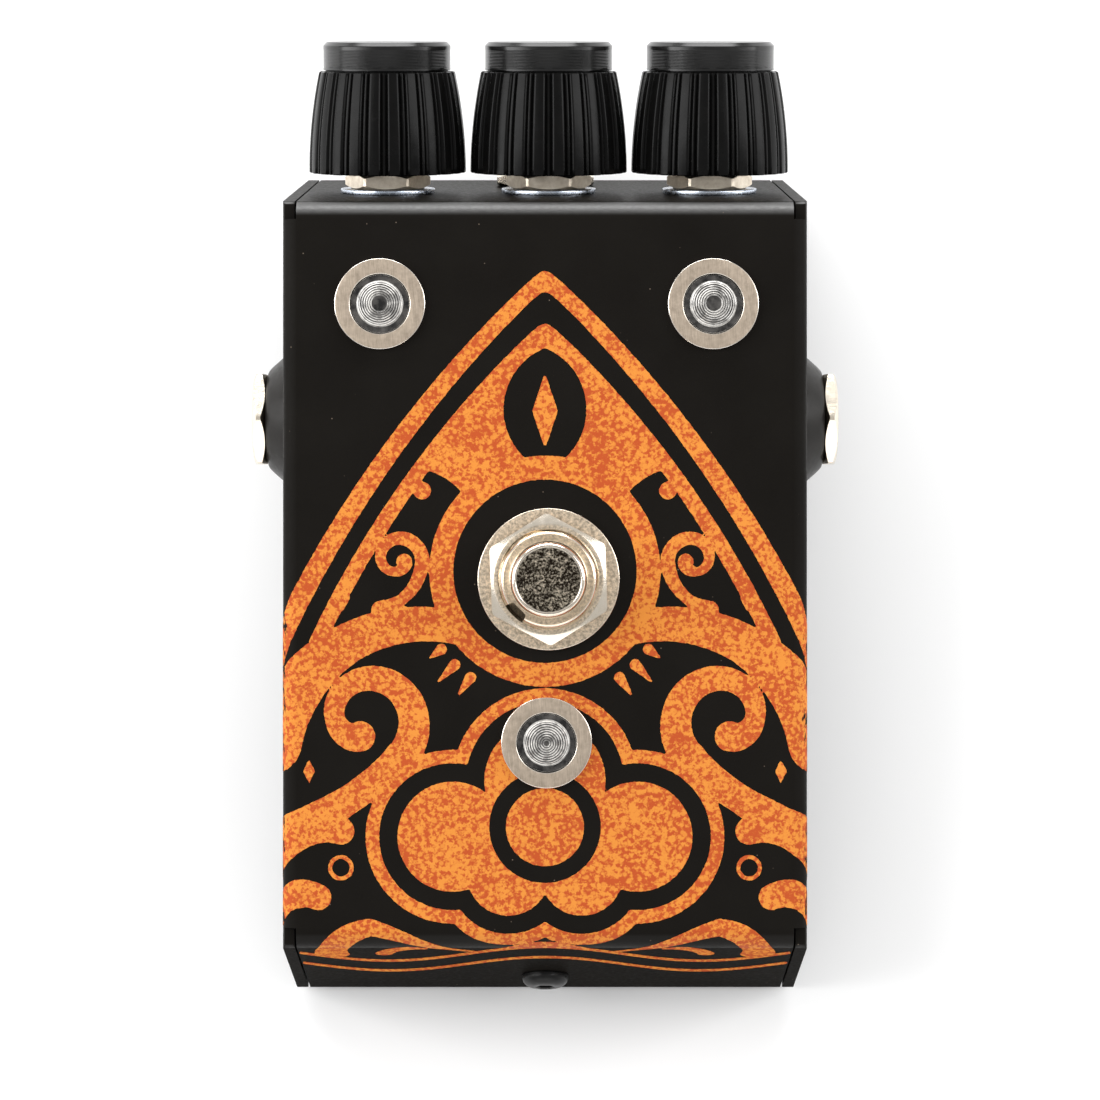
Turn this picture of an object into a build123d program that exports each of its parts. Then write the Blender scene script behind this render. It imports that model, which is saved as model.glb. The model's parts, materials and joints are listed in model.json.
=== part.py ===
from build123d import *
import math
import os

# Compact guitar effects pedal in a folded steel case. All sizes are in millimetres.
# While it is built, y = 0 is the bottom edge of the front panel and z = 0 the bottom of the case.
# At the end everything moves so that the origin is the bottom centre of the whole object:
# +X to the right, +Y towards the back panel with its knobs, +Z up.

# Folded case
CASE_WIDTH = 66.0
SHEET = 1.5
FRONT_HEIGHT = 27.9
FRONT_LEAN = 6.5
TOP_SLOPE = 11.3
TOP_LENGTH = 93.2
BACK_LEAN = 20.5
SIDE_BEND = 2.0
FRONT_BEND = 3.0
BACK_BEND = 2.5
INNER_BEND = 0.5
CORNER_GAP = 0.25
FRONT_RELIEF = 2.1
BACK_RELIEF = 2.1
RELIEF_DROP = 1.0

# Base plate, its tabs and screws
PLATE_GAP = 0.15
TAB_GAP = 0.1
TAB_HEIGHT = 13.0
FRONT_TAB_WIDTH = 24.0
BACK_TAB_WIDTH = 12.0
BACK_SCREW_X = 23.0
BASE_SCREW_HEIGHT = 8.5
SCREW_R = 1.5
SCREW_HEAD_R = 3.0
SCREW_HEAD_HEIGHT = 1.65
SCREW_LENGTH = 7.0
SCREW_SOCKET_R = 1.15
SCREW_SOCKET_DEPTH = 1.2
CLINCH_NUT_R = 3.0
CLINCH_NUT_HEIGHT = 2.0
FOOT_R = 5.0
FOOT_HEIGHT = 2.0
FOOT_X = 23.0
FOOT_INSET = 14.0

# How far right of the middle the footswitch and the knobs sit, and the indicators
HOLE_SHIFT = 0.45
LED_SHIFT = 0.2

# Indicators, placed on the top face by distance up from its front corner
LED_SIDE_X = 20.9
LED_BACK_UP = 80.4
LED_FRONT_UP = 25.4
LED_WASHER_R = 5.7
LED_WASHER_THICK = 0.8
LENS_FLANGE_R = 3.7
LENS_FLANGE_HEIGHT = 1.0
LENS_DOME_R = 2.85
LENS_DOME_HEIGHT = 2.0
LENS_STEM_R = 3.1
LENS_STEM_DEPTH = 3.0
LENS_SOCKET_R = 2.0
LED_R = 1.5
LED_COLLAR_R = 1.9
LED_TIP_DEPTH = 1.4

# Footswitch
SWITCH_UP = 45.9
BUSHING_R = 6.0
BUSHING_TOP = 5.5
BUSHING_BORE_R = 4.7
KEYWAY_WIDTH = 2.6
KEYWAY_DEPTH = 0.9
KEYWAY_ANGLE = -135.0
SWITCH_WASHER_R = 8.9
SWITCH_WASHER_THICK = 1.0
SWITCH_NUT_AF = 14.4
SWITCH_NUT_HEIGHT = 2.2
NUT_CHAMFER = 0.45
LOCK_WASHER_THICK = 0.6
INNER_NUT_HEIGHT = 2.2
FRAME_TOP_DEPTH = 8.5
FRAME_SIZE = 17.2
FRAME_SHEET = 1.0
FRAME_LEG_SHEET = 0.5
FRAME_LEG_LENGTH = 6.5
SWITCH_CASE_HEIGHT = 13.0
PLUNGER_R = 4.62
PLUNGER_TOP = 10.5
PLUNGER_BOTTOM = -5.8
PLUNGER_RIM = 0.6
PLUNGER_HOLLOW_R = 3.3
PLUNGER_HOLLOW_TOP = 1.5
SPRING_R = 2.6
SPRING_WIRE_R = 0.3
SPRING_TURNS = 5
SWITCH_LUG_PITCH_X = 4.7
SWITCH_LUG_PITCH_Y = 5.3
SWITCH_LUG_WIDTH = 2.0
SWITCH_LUG_THICK = 0.8
SWITCH_LUG_LENGTH = 5.4
SWITCH_BOARD_SIZE = 18.0
SWITCH_BOARD_DEPTH = 25.2

# Knobs and potentiometers, placed on the back panel by distance down from its top edge
KNOB_PITCH = 21.05
KNOB_DOWN = 19.8
KNOB_BOTTOM = 2.7
KNOB_TOP = 15.8
KNOB_BASE_R = 10.25
KNOB_MIDDLE_R = 9.9
KNOB_TOP_R = 8.85
KNOB_RIBS = 24
KNOB_GROOVE_R = 0.4
KNOB_HUB_R = 5.2
KNOB_HOLLOW_R = 8.0
KNOB_HOLLOW_TOP = 11.5
KNOB_NOSE_RECESS_R = 3.8
KNOB_NOSE_RECESS_TOP = 4.1
CAP_R = 8.3
CAP_HEIGHT = 3.8
CAP_CHAMFER = 0.5
CAP_SPIGOT_R = 5.0
CAP_SPIGOT_DEPTH = 1.5
GRUB_R = 1.5
GRUB_HEIGHT = 7.5
GRUB_LENGTH = 4.5
SHAFT_R = 3.0
SHAFT_TOP = 13.8
SHAFT_BOTTOM = -8.9
RUNNING_GAP = 0.05
ROTOR_R = 6.5
ROTOR_Z = -6.4
ROTOR_THICK = 1.2
POT_BUSHING_R = 3.5
POT_BUSHING_TOP = 3.6
POT_CAN_R = 8.2
POT_CAN_WALL = 0.5
POT_CAN_DEPTH = 8.0
POT_FACE_THICK = 1.0
WAFER_R = 7.6
WAFER_HOLE_R = 3.4
WAFER_Z = -4.2
WAFER_THICK = 1.2
WAFER_TAB_WIDTH = 12.0
WAFER_TAB_REACH = 9.5
POT_LUG_PITCH = 5.0
POT_LUG_WIDTH = 1.2
POT_LUG_THICK = 0.5
POT_LUG_START = 8.6
POT_LUG_END = 12.5
POT_WASHER_R = 6.15
POT_WASHER_THICK = 0.6
POT_NUT_AF = 9.8
POT_NUT_TURN = 30
POT_NUT_HEIGHT = 2.0

# Jacks, placed by distance up the slope and depth below the top face
JACK_UP = 66.7
JACK_DEPTH = 21.0
JACK_BORE_R = 3.2
JACK_NOSE_R = 4.7
JACK_NOSE_OUT = 4.6
JACK_BODY_LENGTH = 28.0
JACK_BODY_WIDTH = 14.0
JACK_BODY_HEIGHT = 12.0
JACK_BLIND_WALL = 2.0
JACK_RING_BASE_R = 8.75
JACK_RING_SHOULDER_R = 7.67
JACK_RING_TOP_R = 6.04
JACK_RING_SHOULDER = 1.4
JACK_RING_HEIGHT = 3.3
JACK_NUT_AF = 11.7
JACK_NUT_HEIGHT = 1.8
CONTACT_WIDTH = 2.6
CONTACT_THICK = 0.5
CONTACT_LENGTH = 7.0
CONTACT_STARTS = (4.0, 15.0)
CONTACT_PIN_WIDTH = 1.0
CONTACT_GAP = 0.15

# Power socket
POWER_DOWN = 36.0
POWER_BODY_R = 5.5
POWER_NOSE_TOP = 2.6
POWER_BODY_DEPTH = 12.0
POWER_FLANGE_R = 7.0
POWER_FLANGE_THICK = 1.2
POWER_NUT_AF = 13.0
POWER_NUT_HEIGHT = 2.0
POWER_BORE_R = 2.8
POWER_BORE_DEPTH = 8.0
POWER_PIN_R = 1.05
POWER_PIN_TOP = 1.5
POWER_LUG_X = 2.5
POWER_LUG_WIDTH = 1.6
POWER_LUG_THICK = 0.6
POWER_LUG_LENGTH = 3.0

# Circuit board under the top face
BOARD_DEPTH = 8.4
BOARD_THICK = 1.6
BOARD_HALF_WIDTH = 29.5
BOARD_FRONT_UP = 19.5
BOARD_BACK_UP = 91.6
BOARD_WINDOW = 19.0
STANDOFF_AF = 5.0
STANDOFF_X = 26.0
STANDOFF_UPS = (23.5, 72.5)
BOARD_SCREW_R = 1.25
BOARD_SCREW_HEAD_R = 2.3
BOARD_SCREW_HEAD_HEIGHT = 1.4
BOARD_SCREW_LENGTH = 4.0
CHIP_SIZE = (9.8, 6.4, 3.6)
CHIP_X = 19.0
CHIP_UP = 44.0
ELECTROLYTIC_R = 3.15
ELECTROLYTIC_HEIGHT = 11.0
ELECTROLYTIC_XS = (13.5, 21.0)
ELECTROLYTIC_UP = 28.0
FILM_CAP_SIZE = (2.5, 7.2, 6.0)
FILM_CAP_XS = (13.0, 17.0, 21.0, 25.0)
FILM_CAP_UP = 53.0
RESISTOR_R = 1.15
RESISTOR_LENGTH = 6.0
RESISTOR_LEAD_R = 0.3
RESISTOR_LEAD_REACH = 3.8
RESISTOR_XS = (13.0, 17.5, 22.0)
RESISTOR_UP = 36.2
RIBBON_WIDTH = 10.0
RIBBON_THICK = 0.9
RIBBON_BEND = 2.5
RIBBON_UP = 32.5
LEAD_WIDTH = 2.4
LEAD_THICK = 1.2
LEAD_BEND = 4.0
LEAD_RISE = 14.0
LEAD_UP = 78.0

HALF = CASE_WIDTH / 2
SLOPE = math.radians(TOP_SLOPE)
FRONT_TILT = math.radians(FRONT_LEAN)
BACK_TILT = math.radians(BACK_LEAN)
UP_SLOPE = Vector(0, math.cos(SLOPE), math.sin(SLOPE))
TOP_NORMAL = Vector(0, -math.sin(SLOPE), math.cos(SLOPE))
BACK_NORMAL = Vector(0, math.cos(BACK_TILT), math.sin(BACK_TILT))
FRONT_NORMAL = Vector(0, -math.cos(FRONT_TILT), math.sin(FRONT_TILT))
RIGHT = Vector(1, 0, 0)
TOP_FRONT = Vector(0, FRONT_HEIGHT * math.tan(FRONT_TILT), FRONT_HEIGHT)
TOP_BACK = TOP_FRONT + UP_SLOPE * TOP_LENGTH
BASE_LENGTH = TOP_BACK.Y + TOP_BACK.Z * math.tan(BACK_TILT)
BACK_LENGTH = TOP_BACK.Z / math.cos(BACK_TILT)

# Working frames, with z out of the face. On the top face y runs up the slope, on the back panel
# down from its top edge, on the front panel up from its bottom edge. On the right flap x runs up
# the slope and y along the top face's normal.
TOP_FACE = Plane(TOP_FRONT, x_dir=RIGHT, z_dir=TOP_NORMAL).location
BACK_FACE = Plane(TOP_BACK, x_dir=RIGHT, z_dir=BACK_NORMAL).location
FRONT_FACE = Plane(Vector(0, 0, 0), x_dir=RIGHT, z_dir=FRONT_NORMAL).location
RIGHT_FACE = Plane(TOP_FRONT + RIGHT * HALF, x_dir=UP_SLOPE, z_dir=RIGHT).location

BASE_ALIGN = (Align.CENTER, Align.CENTER, Align.MIN)
FAR = 100.0
BIT = 0.02


def disc(radius, low, high):
    """Cylinder about z between two heights."""
    return Pos(0, 0, low) * Cylinder(radius, high - low, align=BASE_ALIGN)


def tube(outer, inner, low, high):
    """Ring about z between two heights."""
    return disc(outer, low, high) - disc(inner, low - 1, high + 1)


def block(low, high):
    """Box between two opposite corners."""
    size = [b - a for a, b in zip(low, high)]
    return Pos(*low) * Box(*size, align=(Align.MIN, Align.MIN, Align.MIN))


def turned(outline):
    """Solid of revolution about z from closed edges in radius and height."""
    return revolve(Plane.XZ * make_face(outline), Axis.Z)


def turned_points(points):
    """Solid of revolution about z from a closed run of (radius, height) points."""
    return turned(Polyline(*points, close=True))


def hex_nut(across_flats, bore, low, high, turn=0):
    """Hexagon nut with both faces chamfered, vertices on the local y axis at turn 0."""
    prism = Pos(0, 0, low) * extrude(
        RegularPolygon(across_flats / 2, 6, major_radius=False, rotation=90 + turn), high - low
    )
    corner = across_flats / math.sqrt(3)
    inner = across_flats / 2 - 0.1
    points = [(0, low), (inner, low), (corner + BIT, low + NUT_CHAMFER)]
    points += [(corner + BIT, high - NUT_CHAMFER), (inner, high), (0, high)]
    return prism & turned_points(points) - disc(bore, low - 1, high + 1)


def strip(points, width, thickness, bend):
    """Flat cable that follows rounded runs in the y-z plane, centred on x = 0."""
    path = FilletPolyline(*points, radius=bend)
    return extrude(Plane.YZ * trace(path, thickness), width / 2, both=True)


def front_y(height, inset):
    """Place of the front panel's face, moved in by inset, at a height."""
    return height * math.tan(FRONT_TILT) + inset / math.cos(FRONT_TILT)


def back_y(height, inset):
    """Place of the back panel's face, moved in by inset, at a height."""
    return BASE_LENGTH - height * math.tan(BACK_TILT) - inset / math.cos(BACK_TILT)


def top_height(y, inset):
    """Height of the top face, moved in by inset, at a place."""
    return TOP_FRONT.Z + (y - TOP_FRONT.Y) * math.tan(SLOPE) - inset / math.cos(SLOPE)


def wall_top(wall_y, inset):
    """Point where a leaning panel meets the top face, both moved in by inset."""
    lean = wall_y(1, inset) - wall_y(0, inset)
    height = top_height(wall_y(0, inset), inset) / (1 - lean * math.tan(SLOPE))
    return (wall_y(height, inset), height)


def wedge(inset, half_width, front_bend, back_bend, side_bend, floor):
    """Solid wedge of the case's side outline, with its top edges rounded."""
    front = wall_top(front_y, inset)
    back = wall_top(back_y, inset)
    ends = [(front_y(floor, inset), floor), (back_y(floor, inset), floor)]
    outline = make_face(Polyline(ends[0], front, back, ends[1], close=True))
    corners = outline.vertices().sort_by(Axis.Y)[2:].sort_by(Axis.X)
    outline = fillet(corners[0], front_bend)
    outline = fillet(outline.vertices().sort_by(Axis.Y)[-1], back_bend)
    side = extrude(Plane.YZ * outline, half_width, both=True)
    section = Rectangle(2 * half_width, FAR, align=(Align.CENTER, Align.MAX))
    section = fillet(section.vertices().group_by(Axis.Y)[-1], side_bend)
    across = Plane(TOP_FRONT - TOP_NORMAL * inset, x_dir=RIGHT, z_dir=-UP_SLOPE)
    tunnel = extrude(across * section, FAR * 2, both=True)
    return side & tunnel


def corner_cuts():
    """Slits between panels and side flaps, and the bend reliefs above them."""
    panel_edge = HALF - SHEET - CORNER_GAP
    ranges = [(-FAR, FRONT_RELIEF), (TOP_LENGTH - BACK_RELIEF, TOP_LENGTH + FAR)]
    cuts = []
    for low, high in ranges:
        slit = block((panel_edge, low, -FAR), (HALF - SHEET, high, SHEET))
        relief = block((panel_edge, low, -RELIEF_DROP), (HALF + SHEET, high, SHEET))
        cut = TOP_FACE * (slit + relief)
        cuts += [cut, mirror(cut, about=Plane.YZ)]
    return cuts


def top_shell():
    """Top face, side flaps, front panel and back panel, folded from one sheet."""
    outer = wedge(0, HALF, FRONT_BEND, BACK_BEND, SIDE_BEND, 0)
    inner_bends = (FRONT_BEND - SHEET, BACK_BEND - SHEET, INNER_BEND)
    shell = outer - wedge(SHEET, HALF - SHEET, *inner_bends, -SHEET)
    for cut in corner_cuts():
        shell -= cut
    through = (-2 * SHEET, SHEET)
    shell -= on_top(HOLE_SHIFT, SWITCH_UP) * disc(BUSHING_R + 0.1, *through)
    for x, up in LED_PLACES.values():
        shell -= on_top(x, up) * disc(LENS_STEM_R + 0.1, *through)
    for x in KNOB_XS.values():
        shell -= on_back(x, KNOB_DOWN) * disc(POT_BUSHING_R + 0.1, *through)
    shell -= on_back(0, POWER_DOWN) * disc(POWER_BODY_R + 0.1, *through)
    jack_hole = JACK_PLACE * disc(JACK_NOSE_R + 0.1, *through)
    shell -= jack_hole
    shell -= mirror(jack_hole, about=Plane.YZ)
    for place in BASE_SCREW_PLACES:
        shell -= place * disc(SCREW_R + 0.1, *through)
    return shell


def base_plate():
    """Bottom plate inside the case, with upturned tabs behind the front and back panels."""
    inset = SHEET + TAB_GAP
    half = HALF - SHEET - PLATE_GAP
    plate = block((-half, front_y(SHEET, inset), 0), (half, back_y(SHEET, inset), SHEET))
    inner = -inset - SHEET
    front_low = -inner * math.tan(FRONT_TILT) + 2 * BIT
    front_tab = block((-FRONT_TAB_WIDTH / 2, front_low, inner), (FRONT_TAB_WIDTH / 2, TAB_HEIGHT, -inset))
    plate += FRONT_FACE * front_tab
    back_low = BACK_LENGTH + inner * math.tan(BACK_TILT) - BIT
    for x in (-BACK_SCREW_X, BACK_SCREW_X):
        half_tab = BACK_TAB_WIDTH / 2
        high = BACK_LENGTH - TAB_HEIGHT
        plate += BACK_FACE * block((x - half_tab, high, inner), (x + half_tab, back_low, -inset))
    for place in BASE_SCREW_PLACES:
        plate -= place * disc(SCREW_R + BIT, inner - 1, 0)
    return plate


def base_screw():
    """Button-head screw with a hexagon socket, z = 0 on the panel."""
    head = [(0, 0), (SCREW_HEAD_R, 0), (SCREW_HEAD_R, 0.4), (0.8 * SCREW_HEAD_R, 1.25)]
    head += [(0.5 * SCREW_HEAD_R, SCREW_HEAD_HEIGHT), (0, SCREW_HEAD_HEIGHT)]
    socket = extrude(RegularPolygon(SCREW_SOCKET_R, 6), SCREW_HEAD_HEIGHT)
    screw = turned_points(head) + disc(SCREW_R, -SCREW_LENGTH, 0)
    return screw - Pos(0, 0, SCREW_HEAD_HEIGHT - SCREW_SOCKET_DEPTH) * socket


def clinch_nut():
    """Round threaded insert pressed on the inside of a base plate tab."""
    high = -2 * SHEET - TAB_GAP
    return tube(CLINCH_NUT_R, SCREW_R + BIT, high - CLINCH_NUT_HEIGHT, high)


def rubber_foot():
    """Round bumper under the base plate."""
    points = [(0, -FOOT_HEIGHT), (FOOT_R - 0.6, -FOOT_HEIGHT), (FOOT_R, -0.5), (FOOT_R, 0), (0, 0)]
    return turned_points(points)


def lens():
    """Clear lens: domed head on a flange, with a hollow stem through the panel."""
    points = [(0, LENS_DOME_HEIGHT), (0.7 * LENS_DOME_R, 0.9 * LENS_DOME_HEIGHT)]
    points += [(LENS_DOME_R, LENS_FLANGE_HEIGHT + 0.2), (LENS_DOME_R, LENS_FLANGE_HEIGHT)]
    points += [(LENS_FLANGE_R, LENS_FLANGE_HEIGHT), (LENS_FLANGE_R, 0), (LENS_STEM_R, 0)]
    points += [(LENS_STEM_R, -LENS_STEM_DEPTH), (LENS_SOCKET_R, -LENS_STEM_DEPTH)]
    points += [(LENS_SOCKET_R, -0.4), (0, -0.4)]
    return turned_points(points)


def led():
    """Light-emitting diode that stands on the board and ends inside the lens."""
    collar = -BOARD_DEPTH + 1.0
    body = disc(LED_COLLAR_R, -BOARD_DEPTH, collar) + disc(LED_R, collar, -LED_TIP_DEPTH - LED_R)
    return body + Pos(0, 0, -LED_TIP_DEPTH - LED_R) * Sphere(LED_R)


def switch_bushing():
    """Threaded bushing with its keyway, on the metal frame around the switch case."""
    frame_low = -FRAME_TOP_DEPTH - FRAME_SHEET
    bushing = tube(BUSHING_R, BUSHING_BORE_R, -FRAME_TOP_DEPTH, BUSHING_TOP)
    key_low = (BUSHING_R - KEYWAY_DEPTH, -KEYWAY_WIDTH / 2, -FRAME_TOP_DEPTH + 1)
    keyway = block(key_low, (BUSHING_R + 1, KEYWAY_WIDTH / 2, FAR))
    bushing -= Rot(0, 0, KEYWAY_ANGLE) * keyway
    half = FRAME_SIZE / 2
    frame = block((-half, -half, frame_low), (half, half, -FRAME_TOP_DEPTH))
    frame -= disc(PLUNGER_HOLLOW_R, frame_low - 1, 0)
    for side in (-1, 1):
        edges = sorted((side * half, side * (half - FRAME_LEG_SHEET)))
        frame += block((edges[0], -half / 2, frame_low - FRAME_LEG_LENGTH), (edges[1], half / 2, frame_low))
    return bushing + frame


def switch_case():
    """Plastic case under the frame, solid where the real one holds its contacts."""
    half = FRAME_SIZE / 2 - FRAME_LEG_SHEET
    high = -FRAME_TOP_DEPTH - FRAME_SHEET
    return block((-half, -FRAME_SIZE / 2, high - SWITCH_CASE_HEIGHT), (half, FRAME_SIZE / 2, high))


def switch_lugs(extra=0):
    """Nine solder lugs in three rows below the case, made larger by extra for their slots."""
    high = -FRAME_TOP_DEPTH - FRAME_SHEET - SWITCH_CASE_HEIGHT
    lugs = []
    for column in (-1, 0, 1):
        for row in (-1, 0, 1):
            x = column * SWITCH_LUG_PITCH_X
            y = row * SWITCH_LUG_PITCH_Y
            half_x = SWITCH_LUG_WIDTH / 2 + extra
            half_y = SWITCH_LUG_THICK / 2 + extra
            low = high - SWITCH_LUG_LENGTH - extra
            lugs.append(block((x - half_x, y - half_y, low), (x + half_x, y + half_y, high)))
    return lugs


def switch_board():
    """Small board soldered on the switch lugs."""
    half = SWITCH_BOARD_SIZE / 2
    board = block((-half, -half, -SWITCH_BOARD_DEPTH - BOARD_THICK), (half, half, -SWITCH_BOARD_DEPTH))
    for slot in switch_lugs(extra=CONTACT_GAP):
        board -= slot
    return board


def plunger():
    """Plunger: rounded rim at the top and a hollow for the spring below."""
    rim = PLUNGER_TOP - PLUNGER_RIM
    outline = Polyline(
        (PLUNGER_R - PLUNGER_RIM, PLUNGER_TOP),
        (0, PLUNGER_TOP),
        (0, PLUNGER_HOLLOW_TOP),
        (PLUNGER_HOLLOW_R, PLUNGER_HOLLOW_TOP),
        (PLUNGER_HOLLOW_R, PLUNGER_BOTTOM),
        (PLUNGER_R, PLUNGER_BOTTOM),
        (PLUNGER_R, rim),
    )
    arc = RadiusArc((PLUNGER_R, rim), (PLUNGER_R - PLUNGER_RIM, PLUNGER_TOP), -PLUNGER_RIM)
    return turned(outline + arc)


def spring():
    """Coil spring between the switch case and the end of the plunger's hollow."""
    low = -FRAME_TOP_DEPTH - FRAME_SHEET + SPRING_WIRE_R + BIT
    height = PLUNGER_HOLLOW_TOP - SPRING_WIRE_R - BIT - low
    path = Helix(height / SPRING_TURNS, height, SPRING_R)
    section = Plane(path @ 0, z_dir=path % 0) * Circle(SPRING_WIRE_R)
    return Pos(0, 0, low) * sweep(section, path=path, is_frenet=True)


def knob():
    """Ribbed skirt with a hub for the shaft, z = 0 on the back panel."""
    side = ThreePointArc(
        (KNOB_BASE_R, KNOB_BOTTOM), (KNOB_MIDDLE_R, (KNOB_BOTTOM + KNOB_TOP) / 2), (KNOB_TOP_R, KNOB_TOP)
    )
    rest = Polyline((KNOB_TOP_R, KNOB_TOP), (0, KNOB_TOP), (0, KNOB_BOTTOM), (KNOB_BASE_R, KNOB_BOTTOM))
    body = turned(side + rest)
    height = KNOB_TOP - KNOB_BOTTOM
    tilt = math.degrees(math.atan2(KNOB_BASE_R - KNOB_TOP_R, height))
    for index in range(KNOB_RIBS):
        groove = Pos(KNOB_BASE_R, 0, KNOB_BOTTOM) * Rot(0, -tilt, 0) * disc(KNOB_GROOVE_R, -1, height + 1)
        body -= Rot(0, 0, index * 360 / KNOB_RIBS) * groove
    body -= tube(KNOB_HOLLOW_R, KNOB_HUB_R, KNOB_BOTTOM - 1, KNOB_HOLLOW_TOP)
    body -= disc(KNOB_NOSE_RECESS_R, KNOB_BOTTOM - 1, KNOB_NOSE_RECESS_TOP)
    body -= disc(SHAFT_R + BIT, KNOB_BOTTOM, SHAFT_TOP + BIT)
    body -= disc(CAP_SPIGOT_R + BIT, KNOB_TOP - CAP_SPIGOT_DEPTH - BIT, KNOB_TOP + 1)
    return body - grub_axis(GRUB_R + BIT, 0, KNOB_BASE_R + 1)


def grub_axis(radius, low, high):
    """Cylinder along local y, from the shaft out through the underside of the knob."""
    return Pos(0, 0, GRUB_HEIGHT) * Rot(-90, 0, 0) * disc(radius, low, high)


def knob_cap():
    """Turned insert in the knob's end."""
    high = KNOB_TOP + CAP_HEIGHT
    points = [(0, high), (CAP_R - CAP_CHAMFER, high), (CAP_R, high - CAP_CHAMFER), (CAP_R, KNOB_TOP)]
    points += [(CAP_SPIGOT_R, KNOB_TOP), (CAP_SPIGOT_R, KNOB_TOP - CAP_SPIGOT_DEPTH)]
    points += [(0, KNOB_TOP - CAP_SPIGOT_DEPTH)]
    return turned_points(points)


def pot_shaft():
    """Shaft with the rotor that carries the wiper."""
    return disc(SHAFT_R, SHAFT_BOTTOM, SHAFT_TOP) + disc(ROTOR_R, ROTOR_Z, ROTOR_Z + ROTOR_THICK)


def pot_can():
    """Potentiometer can and threaded bushing, with a window for the wafer's tab."""
    face = -SHEET
    back = face - POT_CAN_DEPTH
    can = disc(POT_CAN_R, back, face)
    can -= disc(POT_CAN_R - POT_CAN_WALL, back + POT_CAN_WALL, face - POT_FACE_THICK)
    can += disc(POT_BUSHING_R, face, POT_BUSHING_TOP)
    can -= disc(SHAFT_R + RUNNING_GAP, back + POT_CAN_WALL, POT_BUSHING_TOP + 1)
    half = WAFER_TAB_WIDTH / 2 + CONTACT_GAP
    window_high = WAFER_Z + WAFER_THICK + CONTACT_GAP
    window = block((-half, -WAFER_TAB_REACH, WAFER_Z - CONTACT_GAP), (half, 0, window_high))
    return can - window


def pot_wafer():
    """Phenolic wafer with the resistive track, and its tab up towards the board."""
    high = WAFER_Z + WAFER_THICK
    half = WAFER_TAB_WIDTH / 2
    wafer = disc(WAFER_R, WAFER_Z, high) + block((-half, -WAFER_TAB_REACH, WAFER_Z), (half, 0, high))
    return wafer - disc(WAFER_HOLE_R, WAFER_Z - 1, high + 1)


def pot_lugs(extra=0):
    """Three lugs from the wafer's tab up through the board, larger by extra for their slots."""
    lugs = []
    for index in (-1, 0, 1):
        x = index * POT_LUG_PITCH
        half = POT_LUG_WIDTH / 2 + extra
        low = (x - half, -POT_LUG_END - extra, WAFER_Z - POT_LUG_THICK - extra)
        lugs.append(block(low, (x + half, -POT_LUG_START, WAFER_Z + extra)))
    return lugs


def jack_body():
    """Box jack with a threaded nose, a long plug bore and two open contact pockets."""
    inner = -SHEET - JACK_BODY_LENGTH
    half_width = JACK_BODY_WIDTH / 2
    half_height = JACK_BODY_HEIGHT / 2
    body = block((-half_width, -half_height, inner), (half_width, half_height, -SHEET))
    body += disc(JACK_NOSE_R, -SHEET, JACK_NOSE_OUT)
    body -= disc(JACK_BORE_R, inner + JACK_BLIND_WALL, JACK_NOSE_OUT + 1)
    for start in CONTACT_STARTS:
        half = CONTACT_WIDTH / 2 + CONTACT_GAP
        low = (-half, 0, inner + start - CONTACT_GAP)
        body -= block(low, (half, half_height + 1, inner + start + CONTACT_LENGTH + CONTACT_GAP))
    return body


def jack_contacts(extra=0):
    """Tip and sleeve springs beside the bore, each with a pin up through the board."""
    inner = -SHEET - JACK_BODY_LENGTH
    low_y = JACK_BORE_R + CONTACT_GAP
    pin_top = JACK_DEPTH - BOARD_DEPTH + CONTACT_THICK
    contacts = []
    for start in CONTACT_STARTS:
        half = CONTACT_WIDTH / 2
        low_z = inner + start
        leaf = block((-half, low_y, low_z), (half, low_y + CONTACT_THICK, low_z + CONTACT_LENGTH))
        half_pin = CONTACT_PIN_WIDTH / 2 + extra
        pin_low = (-half_pin, low_y, low_z - extra)
        pin_high = (half_pin, pin_top + extra, low_z + CONTACT_THICK + extra)
        contacts.append(leaf + block(pin_low, pin_high))
    return contacts


def jack_ring():
    """Tapered plastic ring between the side flap and the jack's nut."""
    points = [(JACK_NOSE_R + BIT, 0), (JACK_RING_BASE_R, 0), (JACK_RING_BASE_R, 0.5)]
    points += [(JACK_RING_SHOULDER_R, JACK_RING_SHOULDER), (JACK_RING_TOP_R, JACK_RING_HEIGHT)]
    points += [(JACK_NOSE_R + BIT, JACK_RING_HEIGHT)]
    return turned_points(points)


def power_body():
    """Power socket: threaded body with an inner flange and a round bore."""
    body = disc(POWER_BODY_R, -SHEET - POWER_BODY_DEPTH, POWER_NOSE_TOP)
    body += disc(POWER_FLANGE_R, -SHEET - POWER_FLANGE_THICK, -SHEET)
    return body - disc(POWER_BORE_R, -POWER_BORE_DEPTH, POWER_NOSE_TOP + 1)


def power_lugs():
    """Two solder lugs behind the power socket."""
    high = -SHEET - POWER_BODY_DEPTH
    lugs = []
    for x in (-POWER_LUG_X, POWER_LUG_X):
        half_x = POWER_LUG_WIDTH / 2
        half_y = POWER_LUG_THICK / 2
        lugs.append(block((x - half_x, -half_y, high - POWER_LUG_LENGTH), (x + half_x, half_y, high)))
    return lugs


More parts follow.
